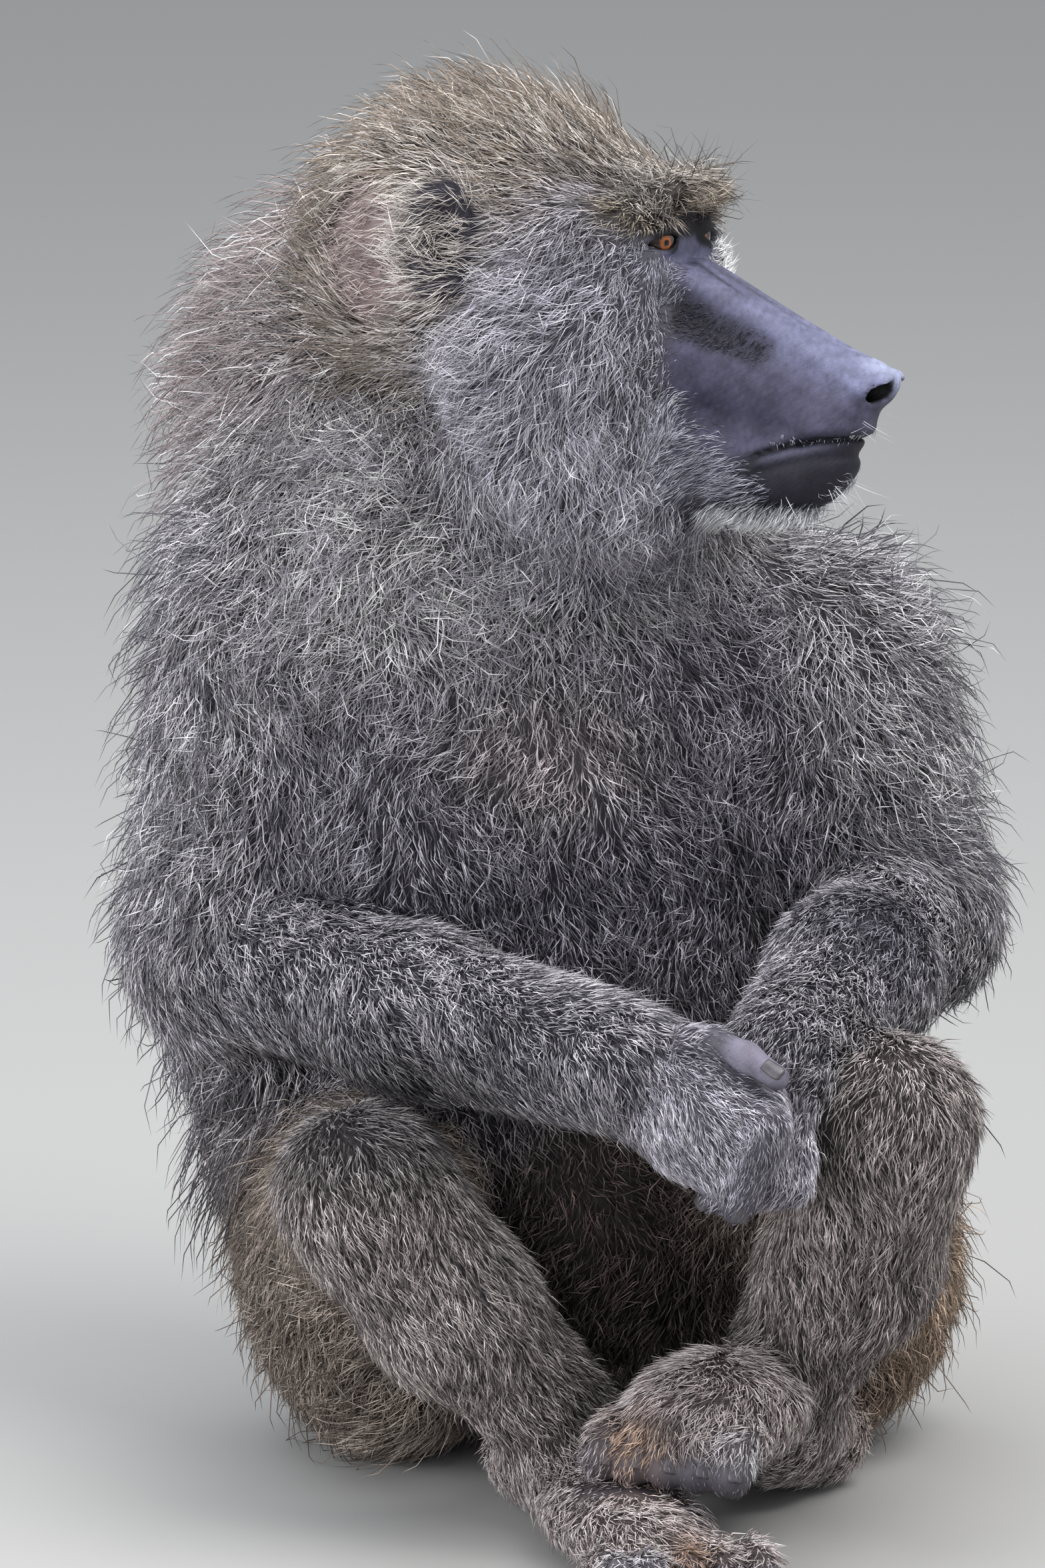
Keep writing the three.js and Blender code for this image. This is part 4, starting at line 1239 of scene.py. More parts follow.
def grain_group() -> bpy.types.NodeTree:
    """Fine pores and soft mottling: a value round one and a height for bump."""
    number = "NodeSocketFloat"
    inputs = [
        ("Vector", "NodeSocketVector", 0), ("Pore Size", number, 900), ("Mottle Size", number, 90),
        ("Contrast", number, 0.25),
    ]
    n = Nodes(new_group("fine_grain", inputs, [("Value", number), ("Height", number)]))
    into = n.add("NodeGroupInput").outputs
    out = n.add("NodeGroupOutput")
    fine = {"Vector": into["Vector"], "Scale": into["Pore Size"], "Detail": 3.0, "Roughness": 0.6}
    wide = {"Vector": into["Vector"], "Scale": into["Mottle Size"], "Detail": 4.0}
    pores = n.add("ShaderNodeTexNoise", fine)
    mottle = n.add("ShaderNodeTexNoise", wide)
    both = n.math("ADD", n.math("MULTIPLY", pores.outputs[0], 0.6), n.math("MULTIPLY", mottle.outputs[0], 1.0))
    centred = n.math("SUBTRACT", both, 0.8)
    n.link(n.math("ADD", n.math("MULTIPLY", centred, into["Contrast"]), 1.0), out.inputs["Value"])
    n.link(both, out.inputs["Height"])
    return n.tree


def wrinkle_group() -> bpy.types.NodeTree:
    """Creases that run round a pulled skin: a height for bump."""
    number = "NodeSocketFloat"
    inputs = [("Vector", "NodeSocketVector", 0), ("Spacing", number, 260), ("Bend", number, 3.0)]
    n = Nodes(new_group("creases", inputs, [("Height", number)]))
    into = n.add("NodeGroupInput").outputs
    out = n.add("NodeGroupOutput")
    shape = {
        "Vector": into["Vector"], "Scale": into["Spacing"], "Distortion": into["Bend"], "Detail": 2.5,
        "Detail Scale": 1.4,
    }
    wave = n.add("ShaderNodeTexWave", shape, bands_direction="Z")
    n.link(wave.outputs[1], out.inputs["Height"])
    return n.tree


@dataclass(frozen=True)
class CoatFinish:
    """Hair: colours from the tufts, broken up by a fine grain."""

    name: str = "hair"
    roughness: float = 0.62
    specular: float = 0.22
    pore: float = 520.0
    mottle: float = 60.0
    contrast: float = 0.75

    def make(self, grain: bpy.types.NodeTree) -> bpy.types.Material:
        """Builds the material."""
        material, n, shader = blank(self.name)
        colour = n.add("ShaderNodeAttribute", attribute_name="coat").outputs["Color"]
        place = n.add("ShaderNodeTexCoord").outputs["Object"]
        fine = n.speck(grain, place, self.pore, self.mottle, self.contrast)
        n.link(n.scaled(colour, fine.outputs[0]), shader.inputs["Base Color"])
        shader.inputs["Roughness"].default_value = self.roughness
        shader.inputs["Specular IOR Level"].default_value = self.specular
        return material


@dataclass(frozen=True)
class SkinFinish:
    """Skin: colours painted on the body, its markings with painted shade and highlight, with pores and creases where
    it is bare.
    """

    name: str = "skin"
    roughness: float = 0.60
    specular: float = 0.22
    pore: float = 1500.0
    mottle: float = 130.0
    contrast: float = 0.95
    crease_spacing: float = 150.0
    crease_bend: float = 6.0
    crease_share: float = 0.12
    crease_turn: Vec3 = (0.35, 0.5, math.radians(37))
    bump_height: float = 0.0006
    bump_strength: float = 0.55

    def make(self, grain: bpy.types.NodeTree, creases: bpy.types.NodeTree) -> bpy.types.Material:
        """Builds the material."""
        material, n, shader = blank(self.name)
        colour = n.add("ShaderNodeAttribute", attribute_name="coat").outputs["Color"]
        bare = n.add("ShaderNodeAttribute", attribute_name="bare").outputs["Fac"]
        place = n.add("ShaderNodeTexCoord").outputs["Object"]
        fine = n.speck(grain, place, self.pore, self.mottle, self.contrast)
        turned = n.add("ShaderNodeMapping", {"Vector": place, "Rotation": self.crease_turn})
        folds = {"Vector": turned.outputs[0], "Spacing": self.crease_spacing, "Bend": self.crease_bend}
        crease = n.add("ShaderNodeGroup", folds, node_tree=creases)
        n.link(n.scaled(colour, fine.outputs[0]), shader.inputs["Base Color"])
        height = n.math("ADD", fine.outputs[1], n.math("MULTIPLY", crease.outputs[0], self.crease_share))
        bump = n.add("ShaderNodeBump", {"Height": height, "Distance": self.bump_height})
        n.link(n.math("MULTIPLY", bare, self.bump_strength), bump.inputs["Strength"])
        n.link(bump.outputs[0], shader.inputs["Normal"])
        rough = n.math("ADD", n.math("MULTIPLY", fine.outputs[1], 0.12), self.roughness - 0.1)
        n.link(rough, shader.inputs["Roughness"])
        shader.inputs["Specular IOR Level"].default_value = self.specular
        return material


@dataclass(frozen=True)
class EyeFinish:
    """An amber iris with a dark pupil and a dark white, wet all over.

    Args:
        name: of the material.
        pupil: angle of the pupil's edge from the way the eye looks, in radians.
        iris: angle of the iris's edge.
        black: colour of the pupil.
        iris_colour: colour of the iris, its amber darkened as the brow's painted shade.
        iris_edge: colour of its rim.
        ring: colour just outside it.
        white: colour of the rest.
        streaks: size of the streaks in the iris.
        wobble: how far they shift its edges.
    """

    name: str = "eye"
    pupil: float = 0.125
    iris: float = 0.315
    black: Colour = (0.004, 0.003, 0.003)
    # the amber is darkened as painted shade of the brow
    iris_colour: Colour = (0.25, 0.076, 0.016)
    iris_edge: Colour = (0.075, 0.022, 0.008)
    ring: Colour = (0.022, 0.012, 0.010)
    white: Colour = (0.026, 0.016, 0.014)
    streaks: float = 900.0
    wobble: float = 0.10

    def make(self, centre: Vector, gaze: Vector) -> bpy.types.Material:
        """Builds the material for an eye at a place, looking along a way."""
        material, n, shader = blank(self.name)
        place = n.add("ShaderNodeTexCoord").outputs["Object"]
        out = n.add("ShaderNodeVectorMath", {0: place, 1: tuple(centre)}, operation="SUBTRACT").outputs[0]
        unit_out = n.add("ShaderNodeVectorMath", {0: out}, operation="NORMALIZE").outputs[0]
        facing = n.add("ShaderNodeVectorMath", {0: unit_out, 1: tuple(gaze)}, operation="DOT_PRODUCT")
        angle = n.math("ARCCOSINE", n.math("MINIMUM", facing.outputs["Value"], 0.99999))
        streaks = n.add("ShaderNodeTexNoise", {"Vector": place, "Scale": self.streaks, "Detail": 3.0})
        wobble = n.math("MULTIPLY", n.math("SUBTRACT", streaks.outputs[0], 0.5), self.wobble)
        rings = n.add("ShaderNodeValToRGB", {0: n.math("ADD", angle, wobble)})
        stops = [
            (0.0, self.black),
            (self.pupil - 0.02, self.black),
            (self.pupil + 0.02, self.iris_colour),
            (self.iris - 0.07, self.iris_colour),
            (self.iris - 0.012, self.iris_edge),
            (self.iris + 0.03, self.ring),
            (self.iris + 0.25, self.white),
        ]
        elements = rings.color_ramp.elements
        elements[0].position, elements[1].position = stops[0][0], stops[-1][0]
        elements[0].color, elements[1].color = (*stops[0][1], 1.0), (*stops[-1][1], 1.0)
        for position, colour in stops[1:-1]:
            elements.new(position).color = (*colour, 1.0)
        n.link(rings.outputs[0], shader.inputs["Base Color"])
        shader.inputs["Roughness"].default_value = 0.16
        shader.inputs["Specular IOR Level"].default_value = 0.15
        shader.inputs["Coat Weight"].default_value = 0.55
        shader.inputs["Coat Roughness"].default_value = 0.03
        return material


@dataclass(frozen=True)
class HornFinish:
    """Dark horn of the nails, streaked along its length."""

    name: str = "horn"
    light: Colour = (0.095, 0.088, 0.098)
    dark: Colour = (0.028, 0.025, 0.029)
    roughness: float = 0.38
    pore: float = 700.0
    mottle: float = 220.0
    contrast: float = 0.9

    def make(self, grain: bpy.types.NodeTree) -> bpy.types.Material:
        """Builds the material."""
        material, n, shader = blank(self.name)
        place = n.add("ShaderNodeTexCoord").outputs["Object"]
        fine = n.speck(grain, place, self.pore, self.mottle, self.contrast)
        share = n.math("SUBTRACT", n.math("MULTIPLY", fine.outputs[1], 1.4), 0.62)
        n.link(n.mix(share, (*self.dark, 1.0), (*self.light, 1.0)), shader.inputs["Base Color"])
        bump = n.add("ShaderNodeBump", {"Height": fine.outputs[1], "Distance": 0.0003, "Strength": 0.4})
        n.link(bump.outputs[0], shader.inputs["Normal"])
        shader.inputs["Roughness"].default_value = self.roughness
        return material


# ---- meshes ----------------------------------------------------------------------------------
def fetched(items: bpy.types.bpy_prop_collection, name: str, width: int, kind: type) -> np.ndarray:
    """One property of all items of a collection, a row for each item."""
    values = np.empty(len(items) * width, kind)
    items.foreach_get(name, values)
    return values.reshape(-1, width)


def apply_modifiers(obj: bpy.types.Object) -> None:
    """Replaces a piece's mesh with what its modifiers make of it."""
    graph = bpy.context.evaluated_depsgraph_get()
    mesh = bpy.data.meshes.new_from_object(obj.evaluated_get(graph))
    obj.modifiers.clear()
    obj.data = mesh


class Placer:
    """Carries body millimetres into the frame's metres."""

    def __init__(self) -> None:
        """Finds the move from the place of the right eye."""
        low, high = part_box("eye_right")
        seen = np.array((low + high) / 2)
        own = out_of_head(np.array([[-EYE_BACK, -EYE_APART / 2, EYE_LIFT]]))[0] * MM
        self.move = seen - own

    def __call__(self, p: Points) -> Points:
        """The points in metres, in the frame."""
        return np.asarray(p) * MM + self.move

    def vertices(self, mesh: bpy.types.Mesh) -> Points:
        """A mesh's vertices in body millimetres."""
        return (fetched(mesh.vertices, "co", 3, np.float32).astype(float) - self.move) / MM


def mesh_object(name: str, points: Points, faces: np.ndarray, smooth: bool = True) -> bpy.types.Object:
    """A mesh object from arrays.

    Args:
        name: of the object.
        points: vertices in metres.
        faces: an array of triangles or quads.
        smooth: shade it smooth.

    Returns:
        The object, linked to the scene.
    """
    mesh = bpy.data.meshes.new(name)
    sides = faces.shape[1]
    mesh.vertices.add(len(points))
    mesh.vertices.foreach_set("co", np.ascontiguousarray(points, np.float32).ravel())
    mesh.loops.add(faces.size)
    mesh.loops.foreach_set("vertex_index", np.ascontiguousarray(faces, np.int32).ravel())
    mesh.polygons.add(len(faces))
    mesh.polygons.foreach_set("loop_start", np.arange(0, faces.size, sides, dtype=np.int32))
    mesh.polygons.foreach_set("use_smooth", np.full(len(faces), smooth))
    mesh.update(calc_edges=True)
    obj = bpy.data.objects.new(name, mesh)
    bpy.context.scene.collection.objects.link(obj)
    return obj


def paint(mesh: bpy.types.Mesh, name: str, colours: Points) -> None:
    """Stores a colour for each vertex."""
    attribute = mesh.color_attributes.new(name, "FLOAT_COLOR", "POINT")
    rgba = np.ones((len(colours), 4), np.float32)
    rgba[:, :3] = colours
    attribute.data.foreach_set("color", rgba.ravel())


def note(mesh: bpy.types.Mesh, name: str, values: np.ndarray) -> None:
    """Stores a number for each vertex."""
    attribute = mesh.attributes.new(name, "FLOAT", "POINT")
    attribute.data.foreach_set("value", np.ascontiguousarray(values, np.float32))


def dress(obj: bpy.types.Object, material: bpy.types.Material, slot: str) -> None:
    """Gives a piece its material and its body."""
    obj.data.materials.clear()
    obj.data.materials.append(material)
    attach(obj, "root")


# ---- the skin ----------------------------------------------------------------------------------
@dataclass
class Skin:
    """The one skin under the coat, bare on the face, the ears and the digits."""

    anatomy: Anatomy
    pelt: Pelt
    placer: Placer
    limit: int = 188000
    muzzle_light: Colour = (0.125, 0.128, 0.205)
    muzzle_side: Colour = (0.058, 0.055, 0.090)
    muzzle_dark: Colour = (0.0105, 0.0095, 0.0150)
    lips: Colour = (0.075, 0.075, 0.116)
    nose: Colour = (0.245, 0.262, 0.37)
    # near-black of the mouth line, the lids and the brow's painted shadow
    near_black: Colour = (0.010, 0.009, 0.012)
    ear: Colour = (0.026, 0.024, 0.034)
    digit: Colour = (0.155, 0.143, 0.185)
    digit_tip: Colour = (0.045, 0.040, 0.046)
    # painted shade inside the nostrils
    hole: Colour = (0.003, 0.003, 0.004)

    def __post_init__(self) -> None:
        """Sets up the blotches of the bare skin."""
        self.blotches = [Wander(31, 9.0, 12), Wander(32, 3.6, 12)]

    def face_colours(self, h: Points) -> tuple[Points, np.ndarray]:
        """The bare skin's colours in the head's frame, and how bare each place is.

        Args:
            h: places in the head's frame.

        Returns:
            Colours and a share from 0 to 1.
        """
        a = folded(h)
        x, y, z = a.T
        top = np.interp(x, [4, 84], [-9, -46])
        upward = ramp(z - top, -21, -3)
        colour = np.tile(np.array(self.muzzle_side), (len(h), 1))
        blot = 1.0 + 0.12 * self.blotches[0].at(h) + 0.14 * self.blotches[1].at(h)

        def lay(share: np.ndarray, over: Colour) -> None:
            """Lays a colour over the face by a share for each place."""
            colour[:] = mixed(colour, over, share[:, None])

        # where the muzzle faces upward it is painted lighter and bluer: its fine grey hair and a painted highlight
        # along the ridges
        lay(upward * (0.55 + 0.45 * ramp(x, 20, 80)), self.muzzle_light)
        # painted shade in the groove between the two ridges of the muzzle
        groove_shade = swell(y, 0, 3.6) * ramp(x, -2, 8) * ramp(-x, -62, -16)
        lay(0.85 * groove_shade, self.muzzle_side)
        # painted shade of a crease on each side of the root of the nose
        crease = swell(y - 0.16 * x, 5.5, 1.3) * ramp(x, 4, 9) * ramp(-x, -40, -22)
        lay(0.7 * crease, self.muzzle_dark)
        lay(ramp(x, 76, 93) * ramp(z, -62, -51) * ramp(-np.abs(y - 4.0), -8, -3), self.nose)
        # the hollow under each ridge is painted near-black: its dark skin and painted shade in the recess
        hollow = Limb((10, 34, -24), (45, 28.5, -39), 12, 9).distance(a)
        lay(ramp(-hollow, -4, 3), self.muzzle_dark)
        off = z - Anatomy.mouth_line(x)
        lay(0.92 * ramp(-off, -6, 1) * ramp(x, 24, 40), self.muzzle_dark)
        lay(0.75 * swell(off, -3.2, 1.8) * ramp(x, 40, 52) * ramp(-x, -80, -66), self.lips)
        lay(0.9 * swell(off, 0.0, 0.9) * ramp(x, 36, 46), self.near_black)
        # painted shade: the inside of the nostrils near-black
        inner = Limb((94, 6.0, -55.0), (84, 7.5, -58.5), 4.0, 3.4).distance(a)
        lay(ramp(-np.minimum(NOSTRIL.distance(a), inner), -0.5, 0.2), self.hole)
        # painted shade in the dip under each nostril
        below = Egg((95.5, 9.5, -62.5), (4.5, 4.5, 4)).distance(a)
        lay(0.45 * ramp(-below, -2.5, 0.5), self.muzzle_dark)
        bare = ramp(Pelt.face_edge(h), -6, 2) * (x > -30) * (y < 60) * (np.abs(z) < 130)
        colour *= blot[:, None]
        return colour, bare

    @staticmethod
    def lids_and_brow_shadow(h: Points) -> np.ndarray:
        """How far each place is painted near-black: the lids, dark and shaded by the brow, and a band under the brow
        painted as its shadow.
        """
        y, z = np.abs(h[:, 1]), h[:, 2]
        lids = ramp(-within(folded(h), (4, 22.5, 4.5), (15, 14, 6.6)), -1.22, -0.88)
        band = ramp(z, 1.0, 4.5) * ramp(-z, -17, -12) * ramp(h[:, 0], -18, -11) * ramp(-y, -42, -35)
        return np.maximum(lids, band)

    def build(self, material: bpy.types.Material) -> bpy.types.Object:
        """Meshes the skin, thins it under the coat and paints it."""
        points, quads = SkinMesher(self.anatomy).build()
        LOG.info("skin net: %d vertices, %d quads", len(points), len(quads))
        obj = mesh_object("skin", self.placer(points), quads)
        self.thin(obj, self.care(points), 2 * len(quads))
        obj.data.polygons.foreach_set("use_smooth", np.full(len(obj.data.polygons), True))
        self.colour(obj)
        dress(obj, material, "skin")
        LOG.info("skin: %d polygons", len(obj.data.polygons))
        return obj

    @staticmethod
    def care(points: Points) -> np.ndarray:
        """How much each vertex matters to the form: the face, the ears and the hands are not thinned."""
        h = into_head(points)
        care = ramp(Pelt.face_edge(h), -12, -2) * (np.abs(h[:, 1]) < 60) * (np.abs(h[:, 2]) < 125)
        for side, out in EAR_OUT.items():
            away = np.linalg.norm(h - np.array([-86, side * out, 0]), axis=1)
            care = np.maximum(care, ramp(-away, -40, -30) * 0.8)
        hands = ((points > np.array([-40, -300, 170])) & (points < np.array([48, -205, 245]))).all(1)
        return np.maximum(care, hands * 0.6)

    def thin(self, obj: bpy.types.Object, care: np.ndarray, triangles: int) -> None:
        """Brings the skin under its limit of triangles where it needs no care."""
        if triangles <= self.limit:
            return
        loose = obj.vertex_groups.new(name="loose")
        loose.add(np.nonzero(care < 0.5)[0].tolist(), 1.0, "REPLACE")
        thin = obj.modifiers.new("thin", "DECIMATE")
        thin.ratio = self.limit / triangles
        thin.vertex_group = loose.name
        thin.vertex_group_factor = 1.0
        apply_modifiers(obj)
        obj.vertex_groups.clear()

    def colour(self, obj: bpy.types.Object) -> None:
        """Paints the markings on the skin, with painted shade and highlight on the face and in the ears."""
        p = self.placer.vertices(obj.data)
        lie = self.pelt.at(p)
        coat = lie.colours["root"] * 0.65 + lie.colours["band"] * 0.12
        h = into_head(p)
        face, bare = self.face_colours(h)
        haired = ramp(lie.numbers["density"] + lie.numbers["under"], 0.0, 0.2)
        digit = (1 - haired) * (1 - bare) * (p[:, 2] < 300)
        thumb = (p[:, 2:] > 219) & (p[:, 1:2] < -230)
        pads = np.where(thumb, np.array(self.digit), np.array(self.digit_tip))
        colour = mixed(coat, pads, digit[:, None])
        for side, out in EAR_OUT.items():
            share = ramp(-within(h, (-82, side * (out + 1), -1), (15, 17, 29)), -1.15, -0.9)[:, None]
            colour = mixed(colour, self.ear, share)
            bare = np.maximum(bare, share[:, 0])
            # painted shade deep in the ear's canal
            deep = within(h, (-88, side * (out - 6), -5), (9, 10, 10))
            colour *= (1 - 0.8 * ramp(-deep, -1.2, -0.7))[:, None]
        colour = mixed(colour, face, (bare * (h[:, 0] > -30))[:, None])
        # the lids and the band under the brow, near-black as the brow's painted shadow
        colour = mixed(colour, self.near_black, self.lids_and_brow_shadow(h)[:, None])
        paint(obj.data, "coat", colour)
        note(obj.data, "bare", np.clip(bare + digit, 0, 1))


# ---- the coat ----------------------------------------------------------------------------------
# side of a tuft's patch on the unwrap, how far a blade is bent in millimetres, and the numbers
# that scatter the middles of the locks
PATCH = 0.003
BLADE_KEEL = 0.3
HASH_PRIMES = (73856093, 19349663, 83492791)
HASH_STEPS = (7, 13, 29)
HASH_SIZE = 1009


class Atlas:
    """An unwrap of the body's own shape: one chart for each mass and facing."""

    def __init__(self, pelt: Pelt, p: Points, n: Points) -> None:
        """Packs a chart for each group of places.

        Args:
            pelt: knows the masses.
            p: places on the skin.
            n: its outward ways there.
        """
        self.uv = np.zeros((len(p), 2))
        owner = in_blocks(pelt.apart, p).argmin(1)
        facing = np.abs(n).argmax(1)
        sign = (np.take_along_axis(n, facing[:, None], 1)[:, 0] > 0).astype(int)
        chart = owner * 6 + facing * 2 + sign
        sizes = []
        for c in np.unique(chart):
            at = np.nonzero(chart == c)[0]
            axes = [k for k in range(3) if k != (c % 6) // 2]
            flat = p[at][:, axes]
            low = flat.min(0)
            sizes.append((flat.max(0) - low + 4.0, at, flat - low + 2.0))
        sizes.sort(key=lambda row: -row[0][1])
        width = math.sqrt(sum(s[0] * s[1] for s, _, _ in sizes)) * 1.12
        x = y = tall = 0.0
        for size, at, flat in sizes:
            if x + size[0] > width:
                x, y, tall = 0.0, y + tall, 0.0
            self.uv[at] = flat + np.array([x, y])
            x, tall = x + size[0], max(tall, size[1])
        self.uv /= max(width, y + tall) * 1.001


@dataclass
class Stack:
    """Tufts of one make as arrays.

    Args:
        points: vertices in millimetres.
        faces: triangles.
        tints: vertex colours.
        spots: the corners' places on the unwrap.
        count: how many tufts there are.
    """

    points: Points
    faces: np.ndarray
    tints: Points
    spots: np.ndarray
    count: int

    def cut(self, share: int, shares: int) -> "Stack":
        """One of several equal shares of the tufts."""
        low, high = self.count * share // shares, self.count * (share + 1) // shares
        own_p, own_f = len(self.points) // self.count, len(self.faces) // self.count
        p, f = slice(low * own_p, high * own_p), slice(low * own_f, high * own_f)
        spots = self.spots[low * own_f * 3 : high * own_f * 3]
        return Stack(self.points[p], self.faces[f] - low * own_p, self.tints[p], spots, high - low)


@dataclass(frozen=True)
class Make:
    """How the tufts of one layer differ from the place's hair.

    Args:
        number: the hair's number that says how many there are.
        length: share of the hair's length.
        depth: share of the coat's depth.
        width: share of the tuft's width.
        dark: share of the dark tufts.
        sides: of a tuft; one with two is a flat blade.
        steps: where its rings are, from root to tip.
    """

    number: str
    length: float
    depth: float
    width: float
    dark: float
    sides: int
    steps: tuple[float, ...] = (0.0, 0.46, 1.0)


class Layer(Enum):
    """The layers of the coat."""

    COAT = Make("density", 1.0, 1.0, 1.0, 1.0, 3)
    UNDER = Make("under", 0.66, 0.60, 1.35, 1.4, 2)
    GUARD = Make("guard", 1.65, 1.25, 0.95, 1.0, 3, (0.0, 0.36, 0.72, 1.0))


@dataclass
class Coat:
    """Grows the tufts of the whole coat and joins them into pieces.

    Args:
        anatomy: the body.
        pelt: the kinds of hair.
        placer: carries millimetres into the frame.
        back_share: share of the tufts on the side away from the camera, where each is wider.
        fineness: share of every tuft's width.
        thinned: share of every place's tufts.
        piece_limit: triangles in one piece.
        clump_cell: how far apart locks are, in millimetres.
        wild: share of tufts that stand out.
        sunk: how deep the roots sit in the skin, in millimetres.
        ground: the least height of a tuft over the floor, in millimetres.
        furthest: the furthest that a ring is moved to the coat's height, in millimetres.
    """

    anatomy: Anatomy
    pelt: Pelt
    placer: Placer
    back_share: float = 0.48
    fineness: float = 0.80
    thinned: float = 0.95
    piece_limit: int = 190000
    clump_cell: float = 9.0
    wild: float = 0.12
    sunk: float = 0.6
    ground: float = 0.7
    furthest: float = 12.0

    def __post_init__(self) -> None:
        """Sets up the wandering of the lie."""
        self.rng = np.random.default_rng(SEED)
        self.swirl = [Wander(11, 70.0), Wander(12, 26.0), Wander(13, 11.0)]
        self.tone = [Wander(21, 46.0), Wander(22, 15.0)]

    def triangles(self, skin: bpy.types.Object) -> tuple[Points, Points]:
        """The skin's triangles in millimetres, and its vertex normals at their corners."""
        mesh = skin.data
        mesh.calc_loop_triangles()
        index = fetched(mesh.loop_triangles, "vertices", 3, np.int32)
        normals = fetched(mesh.vertices, "normal", 3, np.float32).astype(float)
        return self.placer.vertices(mesh)[index], normals[index]

    def sow(self, corners: Points, normals: Points, density: np.ndarray) -> tuple[Points, Points]:
        """Scatters roots over the triangles.

        Args:
            corners: the triangles' corners.
            normals: the skin's outward ways there.
            density: roots in a square millimetre for each triangle.

        Returns:
            Places and outward ways of the roots.
        """
        across = np.cross(corners[:, 1] - corners[:, 0], corners[:, 2] - corners[:, 0])
        area = 0.5 * np.linalg.norm(across, axis=1)
        total = np.cumsum(area * density)
        count = int(total[-1])
        marks = (np.arange(count) + self.rng.uniform(0, 1, count)) * (total[-1] / count)
        pick = np.minimum(np.searchsorted(total, marks), len(area) - 1)
        a, b = self.rng.uniform(0, 1, (2, count))
        flip = a + b > 1
        a, b = np.where(flip, 1 - a, a), np.where(flip, 1 - b, b)
        share = np.stack([1 - a - b, a, b], 1)[:, :, None]
        return (corners[pick] * share).sum(1), unit((normals[pick] * share).sum(1))

    def locks(self, p: Points) -> Points:
        """The middle of the lock that each root belongs to."""
        cell = np.floor(p / self.clump_cell).astype(np.int64)
        best = np.full(len(p), np.inf)
        middle = p.copy()
        for shift in np.ndindex(3, 3, 3):
            c = cell + np.array(shift) - 1
            key = (c * np.array(HASH_PRIMES)).sum(1)
            jitter = np.stack([((key * k) % HASH_SIZE) / HASH_SIZE for k in HASH_STEPS], 1)
            spot = (c + jitter) * self.clump_cell
            away = ((spot - p) ** 2).sum(1)
            closer = away < best
            best[closer] = away[closer]
            middle[closer] = spot[closer]
        return middle

    def directions(self, p: Points, n: Points, lie: Lie) -> tuple[Points, Points]:
        """The way each tuft lies along the skin, and the way across it."""
        way = unit(lie.way - (lie.way * n).sum(1)[:, None] * n)
        across = np.cross(n, way)
        stray = lie.numbers["stray"]
        turn = stray * (1.1 * self.swirl[0].at(p) + 0.9 * self.swirl[1].at(p) + 0.7 * self.swirl[2].at(p))
        turn += stray * self.rng.normal(0, 0.75, len(p))
        c, s = np.cos(turn)[:, None], np.sin(turn)[:, None]
        return way * c + across * s, across * c - way * s

    def grow(self, p: Points, n: Points, lie: Lie, layer: Layer) -> tuple[Points, np.ndarray, Points]:
        """Lays out the tufts.

        Args:
            p: roots.
            n: outward ways.
            lie: the coat at the roots.
            layer: the layer of the coat.

        Returns:
            Ring centres, ring widths and ring colours.
        """
        make, count, k = layer.value, len(p), lie.numbers
        way, across = self.directions(p, n, lie)
        length = k["length"] * self.rng.uniform(0.70, 1.25, count) * make.length
        tall = k["depth"] * self.rng.uniform(0.50, 1.12, count) * make.depth
        wild = self.rng.uniform(0, 1, count) < self.wild
        tall = np.where(wild, tall * self.rng.uniform(1.1, 1.7, count), tall)
        if layer is Layer.GUARD:
            tall *= 0.9 + 1.7 * k["erect"]
        tall = np.minimum(tall, 0.80 * length)
        reach = np.sqrt(np.maximum(length**2 - tall**2, 1.0))
        curl = self.rng.normal(0, 0.15, count) * length * (0.5 + k["stray"])
        pull = self.locks(p) - p
        pull -= (pull * n).sum(1)[:, None] * n
        pull -= 0.5 * (pull * way).sum(1)[:, None] * way
        rings = np.empty((count, len(make.steps), 3))
        for i, t in enumerate(make.steps):
            height = tall * (1 - (1 - t) ** 1.7)
            bend = curl * (math.sin(math.pi * t) + 0.5 * t)
            spot = p + n * height[:, None] + way * (reach * t)[:, None] + across * bend[:, None]
            spot += pull * (k["clump"] * t**1.3)[:, None]
            if i:
                d, g = self.anatomy.slope(spot)
                above = (d - height) * (1.0 - k["erect"]) * 0.85
                wrong = np.where(d > height, above, d - np.maximum(height * 0.7, 0.5))
                spot = spot - g * np.clip(wrong, -self.furthest, self.furthest)[:, None]
            else:
                spot = spot - n * self.sunk
            rings[:, i] = spot
        rings[:, :, 2] = np.maximum(rings[:, :, 2], self.ground)
        width = k["width"] * self.rng.uniform(0.7, 1.25, count) * make.width * k["broad"]
        return rings, self.widths(width, make.steps), self.colours(p, lie, layer)

    @staticmethod
    def widths(width: np.ndarray, steps: tuple[float, ...]) -> np.ndarray:
        """The width at each ring."""
        profile = [0.0] + [1.0 - 0.45 * max(0.0, t - 0.34) / 0.66 for t in steps[1:-1]] + [0.0]
        return width[:, None] * np.array(profile)

